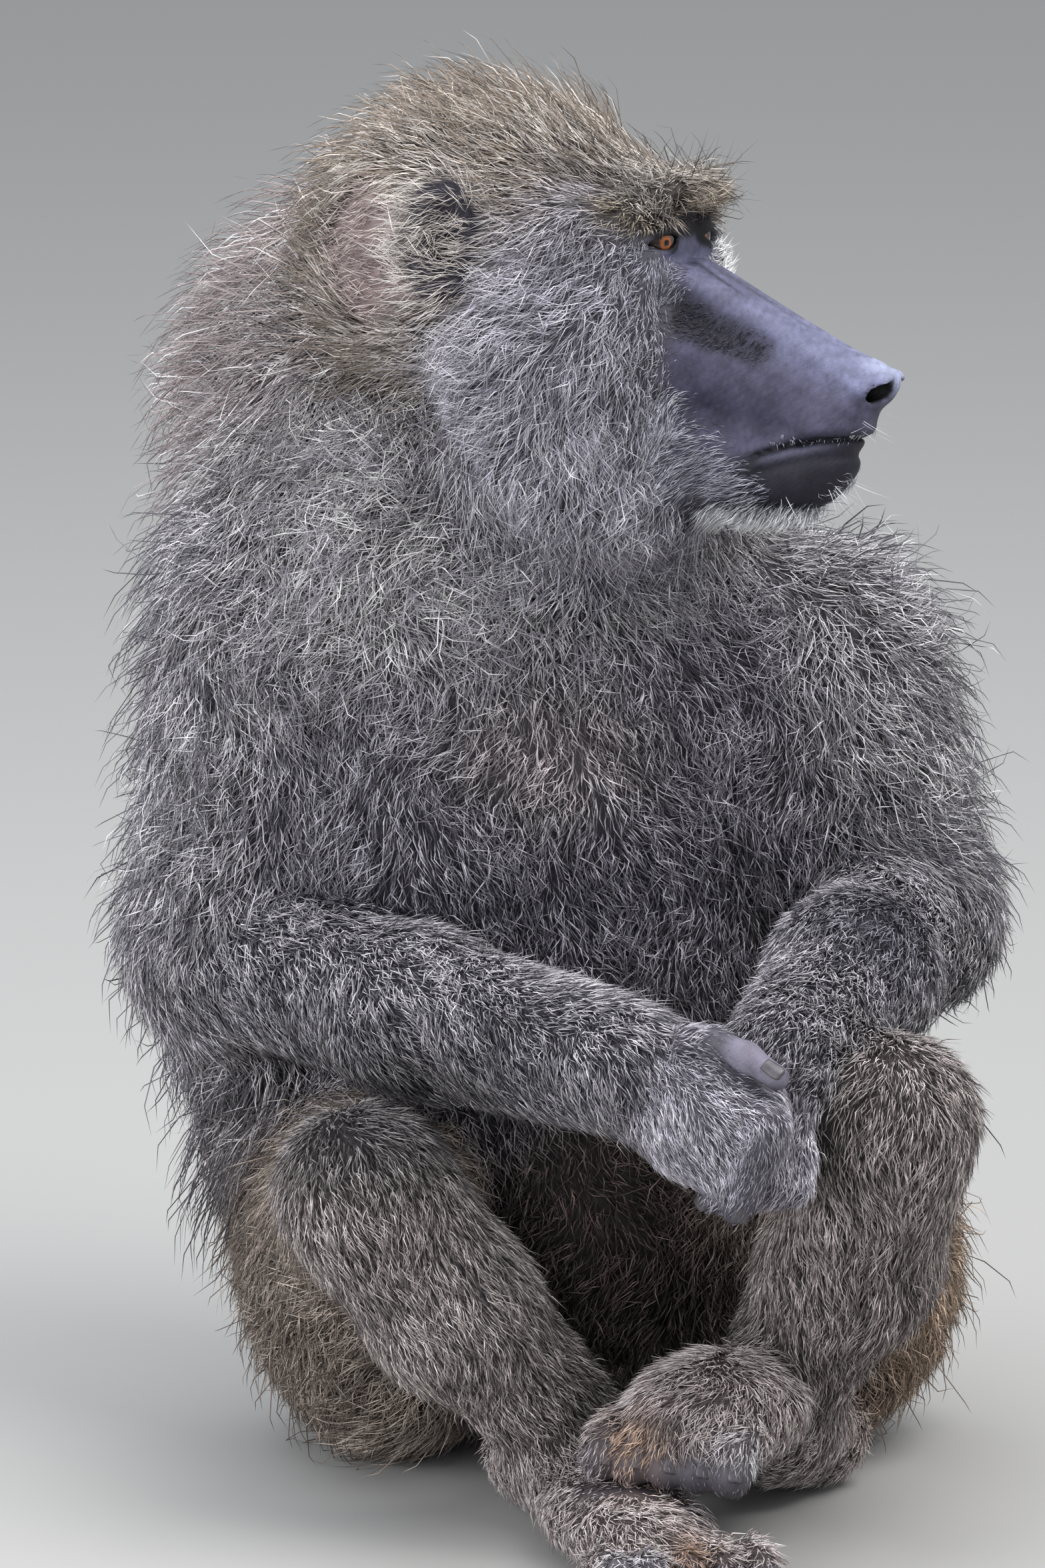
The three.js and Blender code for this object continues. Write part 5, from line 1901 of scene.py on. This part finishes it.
    def colours(self, p: Points, lie: Lie, layer: Layer) -> Points:
        """The colour at each ring."""
        count, make, guard = len(p), layer.value, layer is Layer.GUARD
        root, band, tip = (lie.colours[name] for name in Pelt.COLOURS)
        draw = self.rng.uniform(0, 1, count)
        dark = (draw < lie.numbers["dark"] * make.dark)[:, None]
        black = (self.rng.uniform(0, 1, count) < (0.8 if guard else lie.numbers["black"]))[:, None]
        patch = 1.0 + 0.16 * self.tone[0].at(p) + 0.18 * self.tone[1].at(p)
        shade = (self.rng.uniform(0.62, 1.30, count) * np.clip(patch, 0.5, 1.6))[:, None]
        pale = np.where(dark, band * 0.55 + root * 0.45, tip)
        end = np.where(dark, band * 0.6, tip)
        end = np.where(black, np.array(BLACK), end)
        pale = np.where(black & guard, band * 0.45, pale)
        low, middle = root * 0.5 + band * 0.5, band * 0.30 + pale * 0.70
        rings = [root * 0.8, *(low if t < 0.40 else middle for t in make.steps[1:-1]), end]
        return np.clip(np.stack([ring * shade for ring in rings], 1), 0.0, 0.95)

    def mesh(self, rings: Points, widths: np.ndarray, colours: Points, uv: Points, make: Make) -> Stack:
        """Closed spindles, or closed blades where a tuft has two sides.

        Args:
            rings: the ring centres, in millimetres.
            widths: the ring widths.
            colours: the ring colours.
            uv: each root's place on the unwrap.
            make: how the layer's tufts are made.

        Returns:
            The tufts' arrays.
        """
        (count, rows), sides = rings.shape[:2], make.sides
        along = unit(np.gradient(rings, axis=1))
        spin = self.rng.uniform(0, 2 * math.pi, count)
        up = np.stack([np.cos(spin), np.sin(spin), 0.35 * np.sin(3 * spin)], 1)[:, None, :]
        side = unit(np.cross(along, np.broadcast_to(up, along.shape)))
        other = np.cross(along, side)
        verts, tints = [rings[:, 0]], [colours[:, 0]]
        if sides == 2:
            halfway = (rings[:, 0] + rings[:, 2]) / 2
            chord = halfway - rings[:, 1]
            sag = np.linalg.norm(chord, axis=1)[:, None]
            bent = chord * np.minimum(1.0, BLADE_KEEL / np.maximum(sag, 1e-6))
            keel = np.where(sag > BLADE_KEEL, bent, other[:, 1] * BLADE_KEEL)
            rings = rings.copy()
            rings[:, 1] = halfway - keel
            side[:, 1] = unit(np.cross(along[:, 1], keel))
        for i in range(1, rows - 1):
            for s in range(sides):
                a = 2 * math.pi * s / sides
                r = widths[:, i, None] * 0.5
                verts.append(rings[:, i] + r * (math.cos(a) * side[:, i] + math.sin(a) * other[:, i]))
                tints.append(colours[:, i])
        verts.append(rings[:, -1])
        tints.append(colours[:, -1])
        points = np.stack(verts, 1).reshape(-1, 3)
        tint = np.stack(tints, 1).reshape(-1, 3)
        pattern, spots = self.pattern(sides, rows, make.steps)
        last = 1 + sides * (rows - 2)
        base = np.arange(count)[:, None, None] * (last + 1)
        faces = (np.array(pattern)[None] + base).reshape(-1, 3)
        corner = (np.array(spots)[None] - 0.5) * PATCH + uv[:, None, None, :]
        return Stack(points, faces, tint, np.clip(corner, 0.0, 1.0).reshape(-1, 2), count)

    @staticmethod
    def pattern(sides: int, rows: int, steps: tuple[float, ...]) -> tuple[list, list]:
        """The triangles of one tuft and the place of their corners on its patch."""
        if sides == 2:
            faces = [(0, 1, 2), (1, 3, 2), (0, 3, 1), (0, 2, 3)]
            flat = {0: (0.0, 0.5), 1: (steps[1], 0.0), 2: (steps[1], 1.0), 3: (1.0, 0.5)}
            return faces, [tuple(flat[v] for v in face) for face in faces]
        pattern, spots = [], []
        last = 1 + 3 * (rows - 2)
        for s in range(3):
            s2 = (s + 1) % 3
            v0, v1 = s / 3, (s + 1) / 3
            pattern.append((0, 1 + s2, 1 + s))
            spots.append(((0.0, (v0 + v1) / 2), (steps[1], v1), (steps[1], v0)))
            for i in range(rows - 3):
                a, b = 1 + 3 * i, 4 + 3 * i
                t0, t1 = steps[i + 1], steps[i + 2]
                pattern += [(a + s, a + s2, b + s2), (a + s, b + s2, b + s)]
                spots += [((t0, v0), (t0, v1), (t1, v1)), ((t0, v0), (t1, v1), (t1, v0))]
            end = 1 + 3 * (rows - 3)
            pattern.append((end + s, end + s2, last))
            spots.append(((steps[-2], v0), (steps[-2], v1), (1.0, (v0 + v1) / 2)))
        return pattern, spots

    def build(self, skin: bpy.types.Object, material: bpy.types.Material) -> list[bpy.types.Object]:
        """Grows the coat over the skin.

        Args:
            skin: the finished skin.
            material: the hair's material.

        Returns:
            One piece for each part, or more where a part has many tufts.
        """
        corners, normals = self.triangles(skin)
        middle = corners.mean(1)
        lie = self.pelt.at(middle)
        outward = normals.mean(1)
        hidden = self.hidden(middle, outward) * self.seen(outward)
        sown = []
        for layer in Layer:
            p, n = self.sow(corners, normals, lie.numbers[layer.value.number] * hidden * self.thinned)
            at = self.pelt.at(p)
            at.numbers["broad"] = self.fineness / np.sqrt(self.seen(n))
            sown.append((layer, at, (p, n), *self.grow(p, n, at, layer)))
            LOG.info("%s: %d tufts", layer.name, len(p))
        places = np.concatenate([row[2][0] for row in sown])
        atlas = Atlas(self.pelt, places, np.concatenate([row[2][1] for row in sown]))
        uvs = np.split(atlas.uv, np.cumsum([len(row[2][0]) for row in sown])[:-1])
        pieces = []
        for number, part in enumerate(self.pelt.parts):
            stacks = []
            for (layer, at, _, rings, widths, colours), uv in zip(sown, uvs):
                own = at.part == number
                if own.any():
                    stacks.append(self.mesh(rings[own], widths[own], colours[own], uv[own], layer.value))
            if stacks:
                pieces += self.pieces(part, stacks, material)
        return pieces

    def seen(self, n: Points) -> np.ndarray:
        """The share of tufts that a place keeps for the way it faces."""
        return self.back_share + (1 - self.back_share) * ramp(n @ np.array(CAMERA_WAY), -0.45, 0.0)

    def hidden(self, p: Points, n: Points) -> np.ndarray:
        """Thins the coat where no one sees it: under the body and between parts that touch."""
        ahead = self.anatomy.distances(p + n * 16.0)
        between = 0.25 + 0.75 * ramp(ahead, 2.0, 11.0)
        under = 1.0 - 0.8 * ramp(-p[:, 2], -9.0, -2.0)
        return between * under

    def pieces(self, part: Part, stacks: list[Stack], material: bpy.types.Material) -> list[bpy.types.Object]:
        """Joins the tufts of one part into pieces that stay under the limit."""
        made = []
        shares = max(1, math.ceil(sum(len(s.faces) for s in stacks) / self.piece_limit))
        for share in range(shares):
            cuts = [s.cut(share, shares) for s in stacks]
            base, faces = 0, []
            for cut in cuts:
                faces.append(cut.faces + base)
                base += len(cut.points)
            name = part.value if shares == 1 else f"{part.value}_{share + 1}"
            points = np.concatenate([cut.points for cut in cuts])
            obj = mesh_object(name, self.placer(points), np.concatenate(faces))
            paint(obj.data, "coat", np.concatenate([cut.tints for cut in cuts]))
            layer = obj.data.uv_layers.new(name="OFBake")
            spots = np.concatenate([cut.spots for cut in cuts])
            layer.data.foreach_set("uv", spots.astype(np.float32).ravel())
            dress(obj, material, self.slot_of(part))
            LOG.info("%s: %d triangles", name, len(obj.data.polygons))
            made.append(obj)
        return made

    @staticmethod
    def slot_of(part: Part) -> str:
        """The slot name of a coat piece."""
        if part in (Part.HAUNCHES, Part.TAIL):
            return "coat_olive"
        if part in (Part.FOREARMS, Part.HANDS, Part.SHINS, Part.FEET):
            return "coat_limb"
        return "coat_mantle"


# ---- bristles ----------------------------------------------------------------------------------
@dataclass(frozen=True)
class Bed:
    """A place on the head that stiff hairs grow from, in the head's frame and on both sides."""

    centre: Vec3
    spread: float
    way: Vec3
    count: int
    shortest: float
    longest: float
    colour: Colour


BEDS = (
    Bed((86, 11, -71), 5.0, (0.85, 0.50, -0.40), 4, 9.0, 17.0, (0.80, 0.80, 0.84)),
    Bed((76, 8, -97), 6.0, (0.75, 0.35, -0.75), 6, 10.0, 20.0, (0.80, 0.80, 0.84)),
    Bed((60, 10, -107), 8.0, (0.30, 0.30, -1.00), 8, 10.0, 16.0, (0.86, 0.86, 0.90)),
    Bed((2, 18, 24), 11.0, (0.60, 0.20, 1.00), 14, 18.0, 30.0, (0.020, 0.017, 0.018)),
)


@dataclass
class Bristles:
    """Long stiff hairs on lips, chin and brows, set out by geometry nodes."""

    anatomy: Anatomy
    placer: Placer
    sides: int = 5
    segments: int = 6
    thickness: float = 0.0065
    bend: float = 0.16
    seed: int = 5

    def roots(self) -> tuple[Points, Points, np.ndarray, Points]:
        """Places, ways, lengths and colours of all bristles, in the body's frame."""
        rng = np.random.default_rng(SEED + 1)
        places, ways, sizes, tints = [], [], [], []
        for bed in BEDS:
            for side in (-1, 1):
                mirror = np.array([1, side, 1])
                spot = (np.array(bed.centre) + rng.uniform(-1, 1, (bed.count, 3)) * bed.spread) * mirror
                places.append(out_of_head(spot))
                way = (np.array(bed.way) + rng.normal(0, 0.22, (bed.count, 3))) * mirror
                ways.append(way @ HEAD_TURN.T)
                sizes.append(rng.uniform(bed.shortest, bed.longest, bed.count))
                tints.append(np.tile(np.array(bed.colour), (bed.count, 1)))
        p = np.concatenate(places)
        for _ in range(10):
            d, n = self.anatomy.slope(p)
            p = p - n * d[:, None] * 0.9
        way = unit(np.concatenate(ways))
        inward = (way * n).sum(1)
        way += n * np.maximum(0.25 - inward, 0.0)[:, None]
        return p - n * 0.5, unit(way), np.concatenate(sizes), np.concatenate(tints)

    def group(self) -> tuple[bpy.types.NodeTree, dict[str, str]]:
        """The geometry nodes, and the identifiers of their inputs by name."""
        tree = bpy.data.node_groups.new("bristles", "GeometryNodeTree")
        tree.interface.new_socket(name="Geometry", in_out="INPUT", socket_type="NodeSocketGeometry")
        named = {}
        for label, kind in (("Thickness", "Float"), ("Bend", "Float"), ("Seed", "Int"), ("Material", "Material")):
            socket = tree.interface.new_socket(name=label, in_out="INPUT", socket_type=f"NodeSocket{kind}")
            named[label] = socket.identifier
        tree.interface.new_socket(name="Geometry", in_out="OUTPUT", socket_type="NodeSocketGeometry")
        n = Nodes(tree)
        into = n.add("NodeGroupInput").outputs
        out = n.add("NodeGroupOutput")
        shape = {
            "Vertices": self.sides, "Side Segments": self.segments, "Radius Top": 0.0,
            "Radius Bottom": into["Thickness"], "Depth": 1.0,
        }
        cone = n.add("GeometryNodeMeshCone", shape, fill_type="NGON")
        spot = n.add("ShaderNodeSeparateXYZ", {0: n.add("GeometryNodeInputPosition").outputs[0]})
        lean = n.math("MULTIPLY", n.math("MULTIPLY", spot.outputs[2], spot.outputs[2]), into["Bend"])
        offset = n.add("ShaderNodeCombineXYZ", {0: lean})
        moved = {"Geometry": cone.outputs["Mesh"], "Offset": offset.outputs[0]}
        bent = n.add("GeometryNodeSetPosition", moved)
        way = n.add("GeometryNodeInputNamedAttribute", {"Name": "way"}, data_type="FLOAT_VECTOR")
        size = n.add("GeometryNodeInputNamedAttribute", {"Name": "size"}, data_type="FLOAT")
        turn = n.add("FunctionNodeAlignRotationToVector", {"Vector": way.outputs[0]}, axis="Z")
        scale = n.add("ShaderNodeCombineXYZ", {0: size.outputs[0], 1: size.outputs[0], 2: size.outputs[0]})
        set_out = {
            "Points": into["Geometry"], "Instance": bent.outputs[0], "Rotation": turn.outputs[0],
            "Scale": scale.outputs[0],
        }
        placed = n.add("GeometryNodeInstanceOnPoints", set_out)
        twist = n.add("FunctionNodeRandomValue", {"Seed": into["Seed"]}, data_type="FLOAT")
        twist.inputs[2].default_value, twist.inputs[3].default_value = 0.0, 2 * math.pi
        about = n.add("ShaderNodeCombineXYZ", {2: twist.outputs[1]})
        spun = n.add("GeometryNodeRotateInstances", {"Instances": placed.outputs[0], "Rotation": about.outputs[0]})
        solid = n.add("GeometryNodeRealizeInstances", {0: spun.outputs[0]})
        done = n.add("GeometryNodeSetMaterial", {"Geometry": solid.outputs[0], "Material": into["Material"]})
        n.link(done.outputs[0], out.inputs[0])
        return tree, named

    def build(self, material: bpy.types.Material) -> bpy.types.Object:
        """Grows the bristles and joins them into one piece."""
        places, ways, sizes, tints = self.roots()
        mesh = bpy.data.meshes.new("bristle_roots")
        mesh.from_pydata(self.placer(places).tolist(), [], [])
        lean = mesh.attributes.new("way", "FLOAT_VECTOR", "POINT")
        lean.data.foreach_set("vector", ways.astype(np.float32).ravel())
        note(mesh, "size", sizes * MM)
        obj = bpy.data.objects.new("coat_bristles", mesh)
        bpy.context.scene.collection.objects.link(obj)
        tree, named = self.group()
        modifier = obj.modifiers.new("bristles", "NODES")
        modifier.node_group = tree
        modifier[named["Thickness"]] = self.thickness
        modifier[named["Bend"]] = self.bend
        modifier[named["Seed"]] = self.seed
        modifier[named["Material"]] = material
        apply_modifiers(obj)
        self.unwrap(obj.data, len(places), tints)
        dress(obj, material, "coat_mantle")
        LOG.info("bristles: %d polygons", len(obj.data.polygons))
        return obj

    def unwrap(self, mesh: bpy.types.Mesh, count: int, tints: Points) -> None:
        """Gives each bristle its colour and its patch of the unwrap."""
        total = len(mesh.vertices)
        each = total // count
        owner = np.minimum(np.arange(total) // each, count - 1)
        paint(mesh, "coat", tints[owner])
        index = fetched(mesh.loops, "vertex_index", 1, np.int32)[:, 0]
        order = index % each
        row, column = np.divmod(owner[index], 16)
        u = 0.004 + column * 0.004 + (order / each) * PATCH
        v = 0.990 - row * 0.004 + ((order % self.sides) / self.sides - 0.5) * PATCH
        layer = mesh.uv_layers.new(name="OFBake")
        layer.data.foreach_set("uv", np.column_stack([u, v]).astype(np.float32).ravel())


# ---- eyes --------------------------------------------------------------------------------------
@dataclass
class Eyes:
    """Both eyeballs, each with the bulge of the cornea."""

    placer: Placer
    rings: int = 40
    sides: int = 56
    bulge: float = 0.75
    bulge_angle: float = 0.42
    gaze_turn: float = -28.0
    gaze_drop: float = -3.0

    def build(self, finish: EyeFinish) -> list[bpy.types.Object]:
        """Makes the right and the left eye."""
        made = []
        for name, side in (("eye_right", -1), ("eye_left", 1)):
            centre = out_of_head(np.array([[-EYE_BACK, side * EYE_APART / 2, EYE_LIFT]]))[0]
            turn, drop = math.radians(self.gaze_turn), math.radians(self.gaze_drop)
            local = np.array([math.cos(turn) * math.cos(drop), math.sin(turn) * math.cos(drop), math.sin(drop)])
            gaze = HEAD_TURN @ local
            points, faces = self.ball(gaze)
            middle = self.placer(centre)
            obj = mesh_object(f"{name}_ball", middle + points * MM, faces)
            material = finish.make(Vector(middle), Vector(gaze))
            dress(obj, material, "eye")
            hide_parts(name)
            made.append(obj)
        return made

    def ball(self, gaze: np.ndarray) -> tuple[Points, np.ndarray]:
        """A ball round the way it looks, in triangles."""
        side = np.cross(gaze, [0.0, 0.0, 1.0])
        side /= np.linalg.norm(side)
        up = np.cross(side, gaze)
        points = [gaze * (EYE_RADIUS + self.bulge)]
        for ring in range(1, self.rings):
            a = math.pi * ring / self.rings
            r = EYE_RADIUS + self.bulge * math.exp(-((a / self.bulge_angle) ** 2))
            for k in range(self.sides):
                b = 2 * math.pi * k / self.sides
                out = side * math.cos(b) + up * math.sin(b)
                points.append(r * (gaze * math.cos(a) + out * math.sin(a)))
        points.append(-gaze * EYE_RADIUS)
        faces = []
        last = len(points) - 1
        for k in range(self.sides):
            k2 = (k + 1) % self.sides
            faces.append((0, 1 + k2, 1 + k))
            for ring in range(self.rings - 2):
                a, b = 1 + ring * self.sides, 1 + (ring + 1) * self.sides
                faces += [(a + k, a + k2, b + k2), (a + k, b + k2, b + k)]
            end = 1 + (self.rings - 2) * self.sides
            faces.append((end + k, end + k2, last))
        return np.array(points), np.array(faces)


# ---- nails -------------------------------------------------------------------------------------
@dataclass
class Nails:
    """Curved nails on the digits that show."""

    anatomy: Anatomy
    placer: Placer
    length: float = 9.0
    width: float = 7.0
    thickness: float = 0.9
    cells: int = 8

    def digits(self) -> list[tuple[np.ndarray, np.ndarray, np.ndarray, float]]:
        """Tip, way along, way up and radius of each digit's end."""
        found = []
        for masses in [*self.anatomy.digits.values(), *self.anatomy.thumbs.values()]:
            bare = [mass for mass in masses if mass.hair is BARE]
            for mass, after in zip(bare, [*bare[1:], None]):
                if after is not None and after.shape.start == mass.shape.end:
                    continue
                a, b = np.array(mass.shape.start), np.array(mass.shape.end)
                way = (b - a) / np.linalg.norm(b - a)
                out = np.array([0.0, -1.0, 0.5])
                up = out - (out @ way) * way
                found.append((b, way, up / np.linalg.norm(up), mass.shape.end_radius))
        return found

    def build(self, material: bpy.types.Material) -> bpy.types.Object:
        """Joins all nails into one piece."""
        points, faces = [], []
        for tip, way, up, radius in self.digits():
            p, f = self.nail(tip, way, up, radius)
            faces.append(f + sum(len(q) for q in points))
            points.append(p)
        obj = mesh_object("nails", self.placer(np.concatenate(points)), np.concatenate(faces))
        dress(obj, material, "nail")
        return obj

    def nail(
        self, tip: np.ndarray, way: np.ndarray, up: np.ndarray, radius: float
    ) -> tuple[Points, np.ndarray]:
        """One nail as a closed curved plate."""
        side = np.cross(way, up)
        n = self.cells
        wide = min(self.width, 1.3 * radius)
        top, low = [], []
        for i in range(n + 1):
            t = i / n
            for j in range(n + 1):
                s = 2 * j / n - 1
                rounded = math.sqrt(max(0.04, 1 - (2 * max(0, t - 0.62)) ** 2))
                half = wide * 0.5 * rounded * (0.75 + 0.25 * t)
                angle = s * half / radius
                along = (t - 0.72) * self.length
                lift = radius * 1.0 - 0.6 * max(0.0, along) ** 2 / radius * 0.35
                spot = tip + way * along + up * (lift * math.cos(angle)) + side * (radius * math.sin(angle) * 1.02)
                normal = up * math.cos(angle) + side * math.sin(angle)
                top.append(spot + normal * (self.thickness * 0.6))
                low.append(spot - normal * (self.thickness * 0.9))
        points = np.array(top + low)
        at = np.arange((n + 1) * (n + 1)).reshape(n + 1, n + 1)
        below = at.size
        faces = []
        for i, j in np.ndindex(n, n):
            a, b, c, d = at[i, j], at[i + 1, j], at[i + 1, j + 1], at[i, j + 1]
            faces += [(a, b, c, d), (below + d, below + c, below + b, below + a)]
        for i in range(n):
            rims = (
                (at[i + 1, 0], at[i, 0]), (at[i, n], at[i + 1, n]),
                (at[0, i], at[0, i + 1]), (at[n, i + 1], at[n, i]),
            )
            faces += [(a, b, below + b, below + a) for a, b in rims]
        return points, np.array(faces)


# ---- the studio --------------------------------------------------------------------------------
@dataclass
class Studio:
    """Pale floor, soft lights and the camera."""

    placer: Placer
    azimuth: float = -15.0
    elevation: float = 12.0
    distance: float = 4.70
    lens: float = 251.8
    middle: Vec3 = (-18.0, 5.0, 291.0)

    def build(self) -> None:
        """Sets floor, light and camera."""
        self.floor()
        self.lights()
        self.camera()
        bpy.context.scene.view_settings.view_transform = "Standard"

    def floor(self) -> None:
        """A wide pale floor."""
        size = 12.0
        points = np.array([[-size, -size, 0], [size, -size, 0], [size, size, 0], [-size, size, 0]], float)
        obj = mesh_object("floor", points, np.array([[0, 1, 2, 3]]), smooth=False)
        material, _, shader = blank("pale_floor")
        shader.inputs["Base Color"].default_value = (0.36, 0.355, 0.345, 1.0)
        shader.inputs["Roughness"].default_value = 0.9
        obj.data.materials.append(material)

    def lights(self) -> None:
        """A big soft light overhead, a weaker one from the front and a pale surround."""
        world = bpy.data.worlds.new("surround")
        bpy.context.scene.world = world
        world.use_nodes = True
        back = world.node_tree.nodes["Background"]
        back.inputs["Color"].default_value = (0.80, 0.84, 0.90, 1.0)
        back.inputs["Strength"].default_value = 0.80
        for name, place, power, size, colour in (
            ("key", (0.9, -1.3, 2.6), 76.0, 1.8, (1.0, 0.98, 0.96)),
            ("top", (-0.5, 0.3, 3.0), 58.0, 2.2, (0.96, 0.98, 1.0)),
            ("front", (-1.9, -2.4, 1.2), 30.0, 1.8, (0.95, 0.96, 1.0)),
            ("side", (-2.6, -0.5, 0.8), 38.0, 1.6, (0.96, 0.97, 1.0)),
        ):
            light = bpy.data.lights.new(name, "AREA")
            light.energy = power
            light.size = size
            light.color = colour
            obj = bpy.data.objects.new(name, light)
            obj.location = place
            aim = Vector((0.0, 0.0, 0.32)) - Vector(place)
            obj.rotation_euler = aim.to_track_quat("-Z", "Y").to_euler()
            bpy.context.scene.collection.objects.link(obj)

    def camera(self) -> None:
        """A long lens at the animal's right front, a little above it."""
        camera = bpy.data.cameras.new("camera")
        camera.sensor_width = 36.0
        camera.sensor_fit = "AUTO"
        camera.lens = self.lens
        camera.clip_end = 100.0
        obj = bpy.data.objects.new("camera", camera)
        a, e = math.radians(self.azimuth), math.radians(self.elevation)
        out = Vector((math.sin(a) * math.cos(e), -math.cos(a) * math.cos(e), math.sin(e)))
        target = Vector(self.placer(np.array(self.middle)))
        obj.location = target + out * self.distance
        obj.rotation_euler = (-out).to_track_quat("-Z", "Y").to_euler()
        bpy.context.scene.collection.objects.link(obj)
        bpy.context.scene.camera = obj


# ---- the whole model ---------------------------------------------------------------------------
FLESH = (
    "head", "face", "muzzle", "lower_jaw", "ear_right", "ear_left", "neck", "chest", "rump",
    "upper_arm_right", "upper_arm_left", "forearm_right", "forearm_left", "hand_right", "hand_left",
    "thigh_right", "thigh_left", "shin_right", "shin_left", "foot_right", "foot_left",
    "tail_1", "tail_2", "tail_3", "tail_4",
)


def main() -> None:
    """Builds the baboon and the studio round it."""
    logging.basicConfig(level=logging.INFO, format="%(relativeCreated)7d ms %(message)s")
    placer = Placer()
    anatomy = Anatomy()
    pelt = Pelt(anatomy)
    grain, creases = grain_group(), wrinkle_group()
    skin = Skin(anatomy, pelt, placer).build(SkinFinish().make(grain, creases))
    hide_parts(*FLESH)
    Eyes(placer).build(EyeFinish())
    Nails(anatomy, placer).build(HornFinish().make(grain))
    hair = CoatFinish().make(grain)
    Coat(anatomy, pelt, placer).build(skin, hair)
    Bristles(anatomy, placer).build(hair)
    Studio(placer).build()


if __name__ == "__main__":
    main()
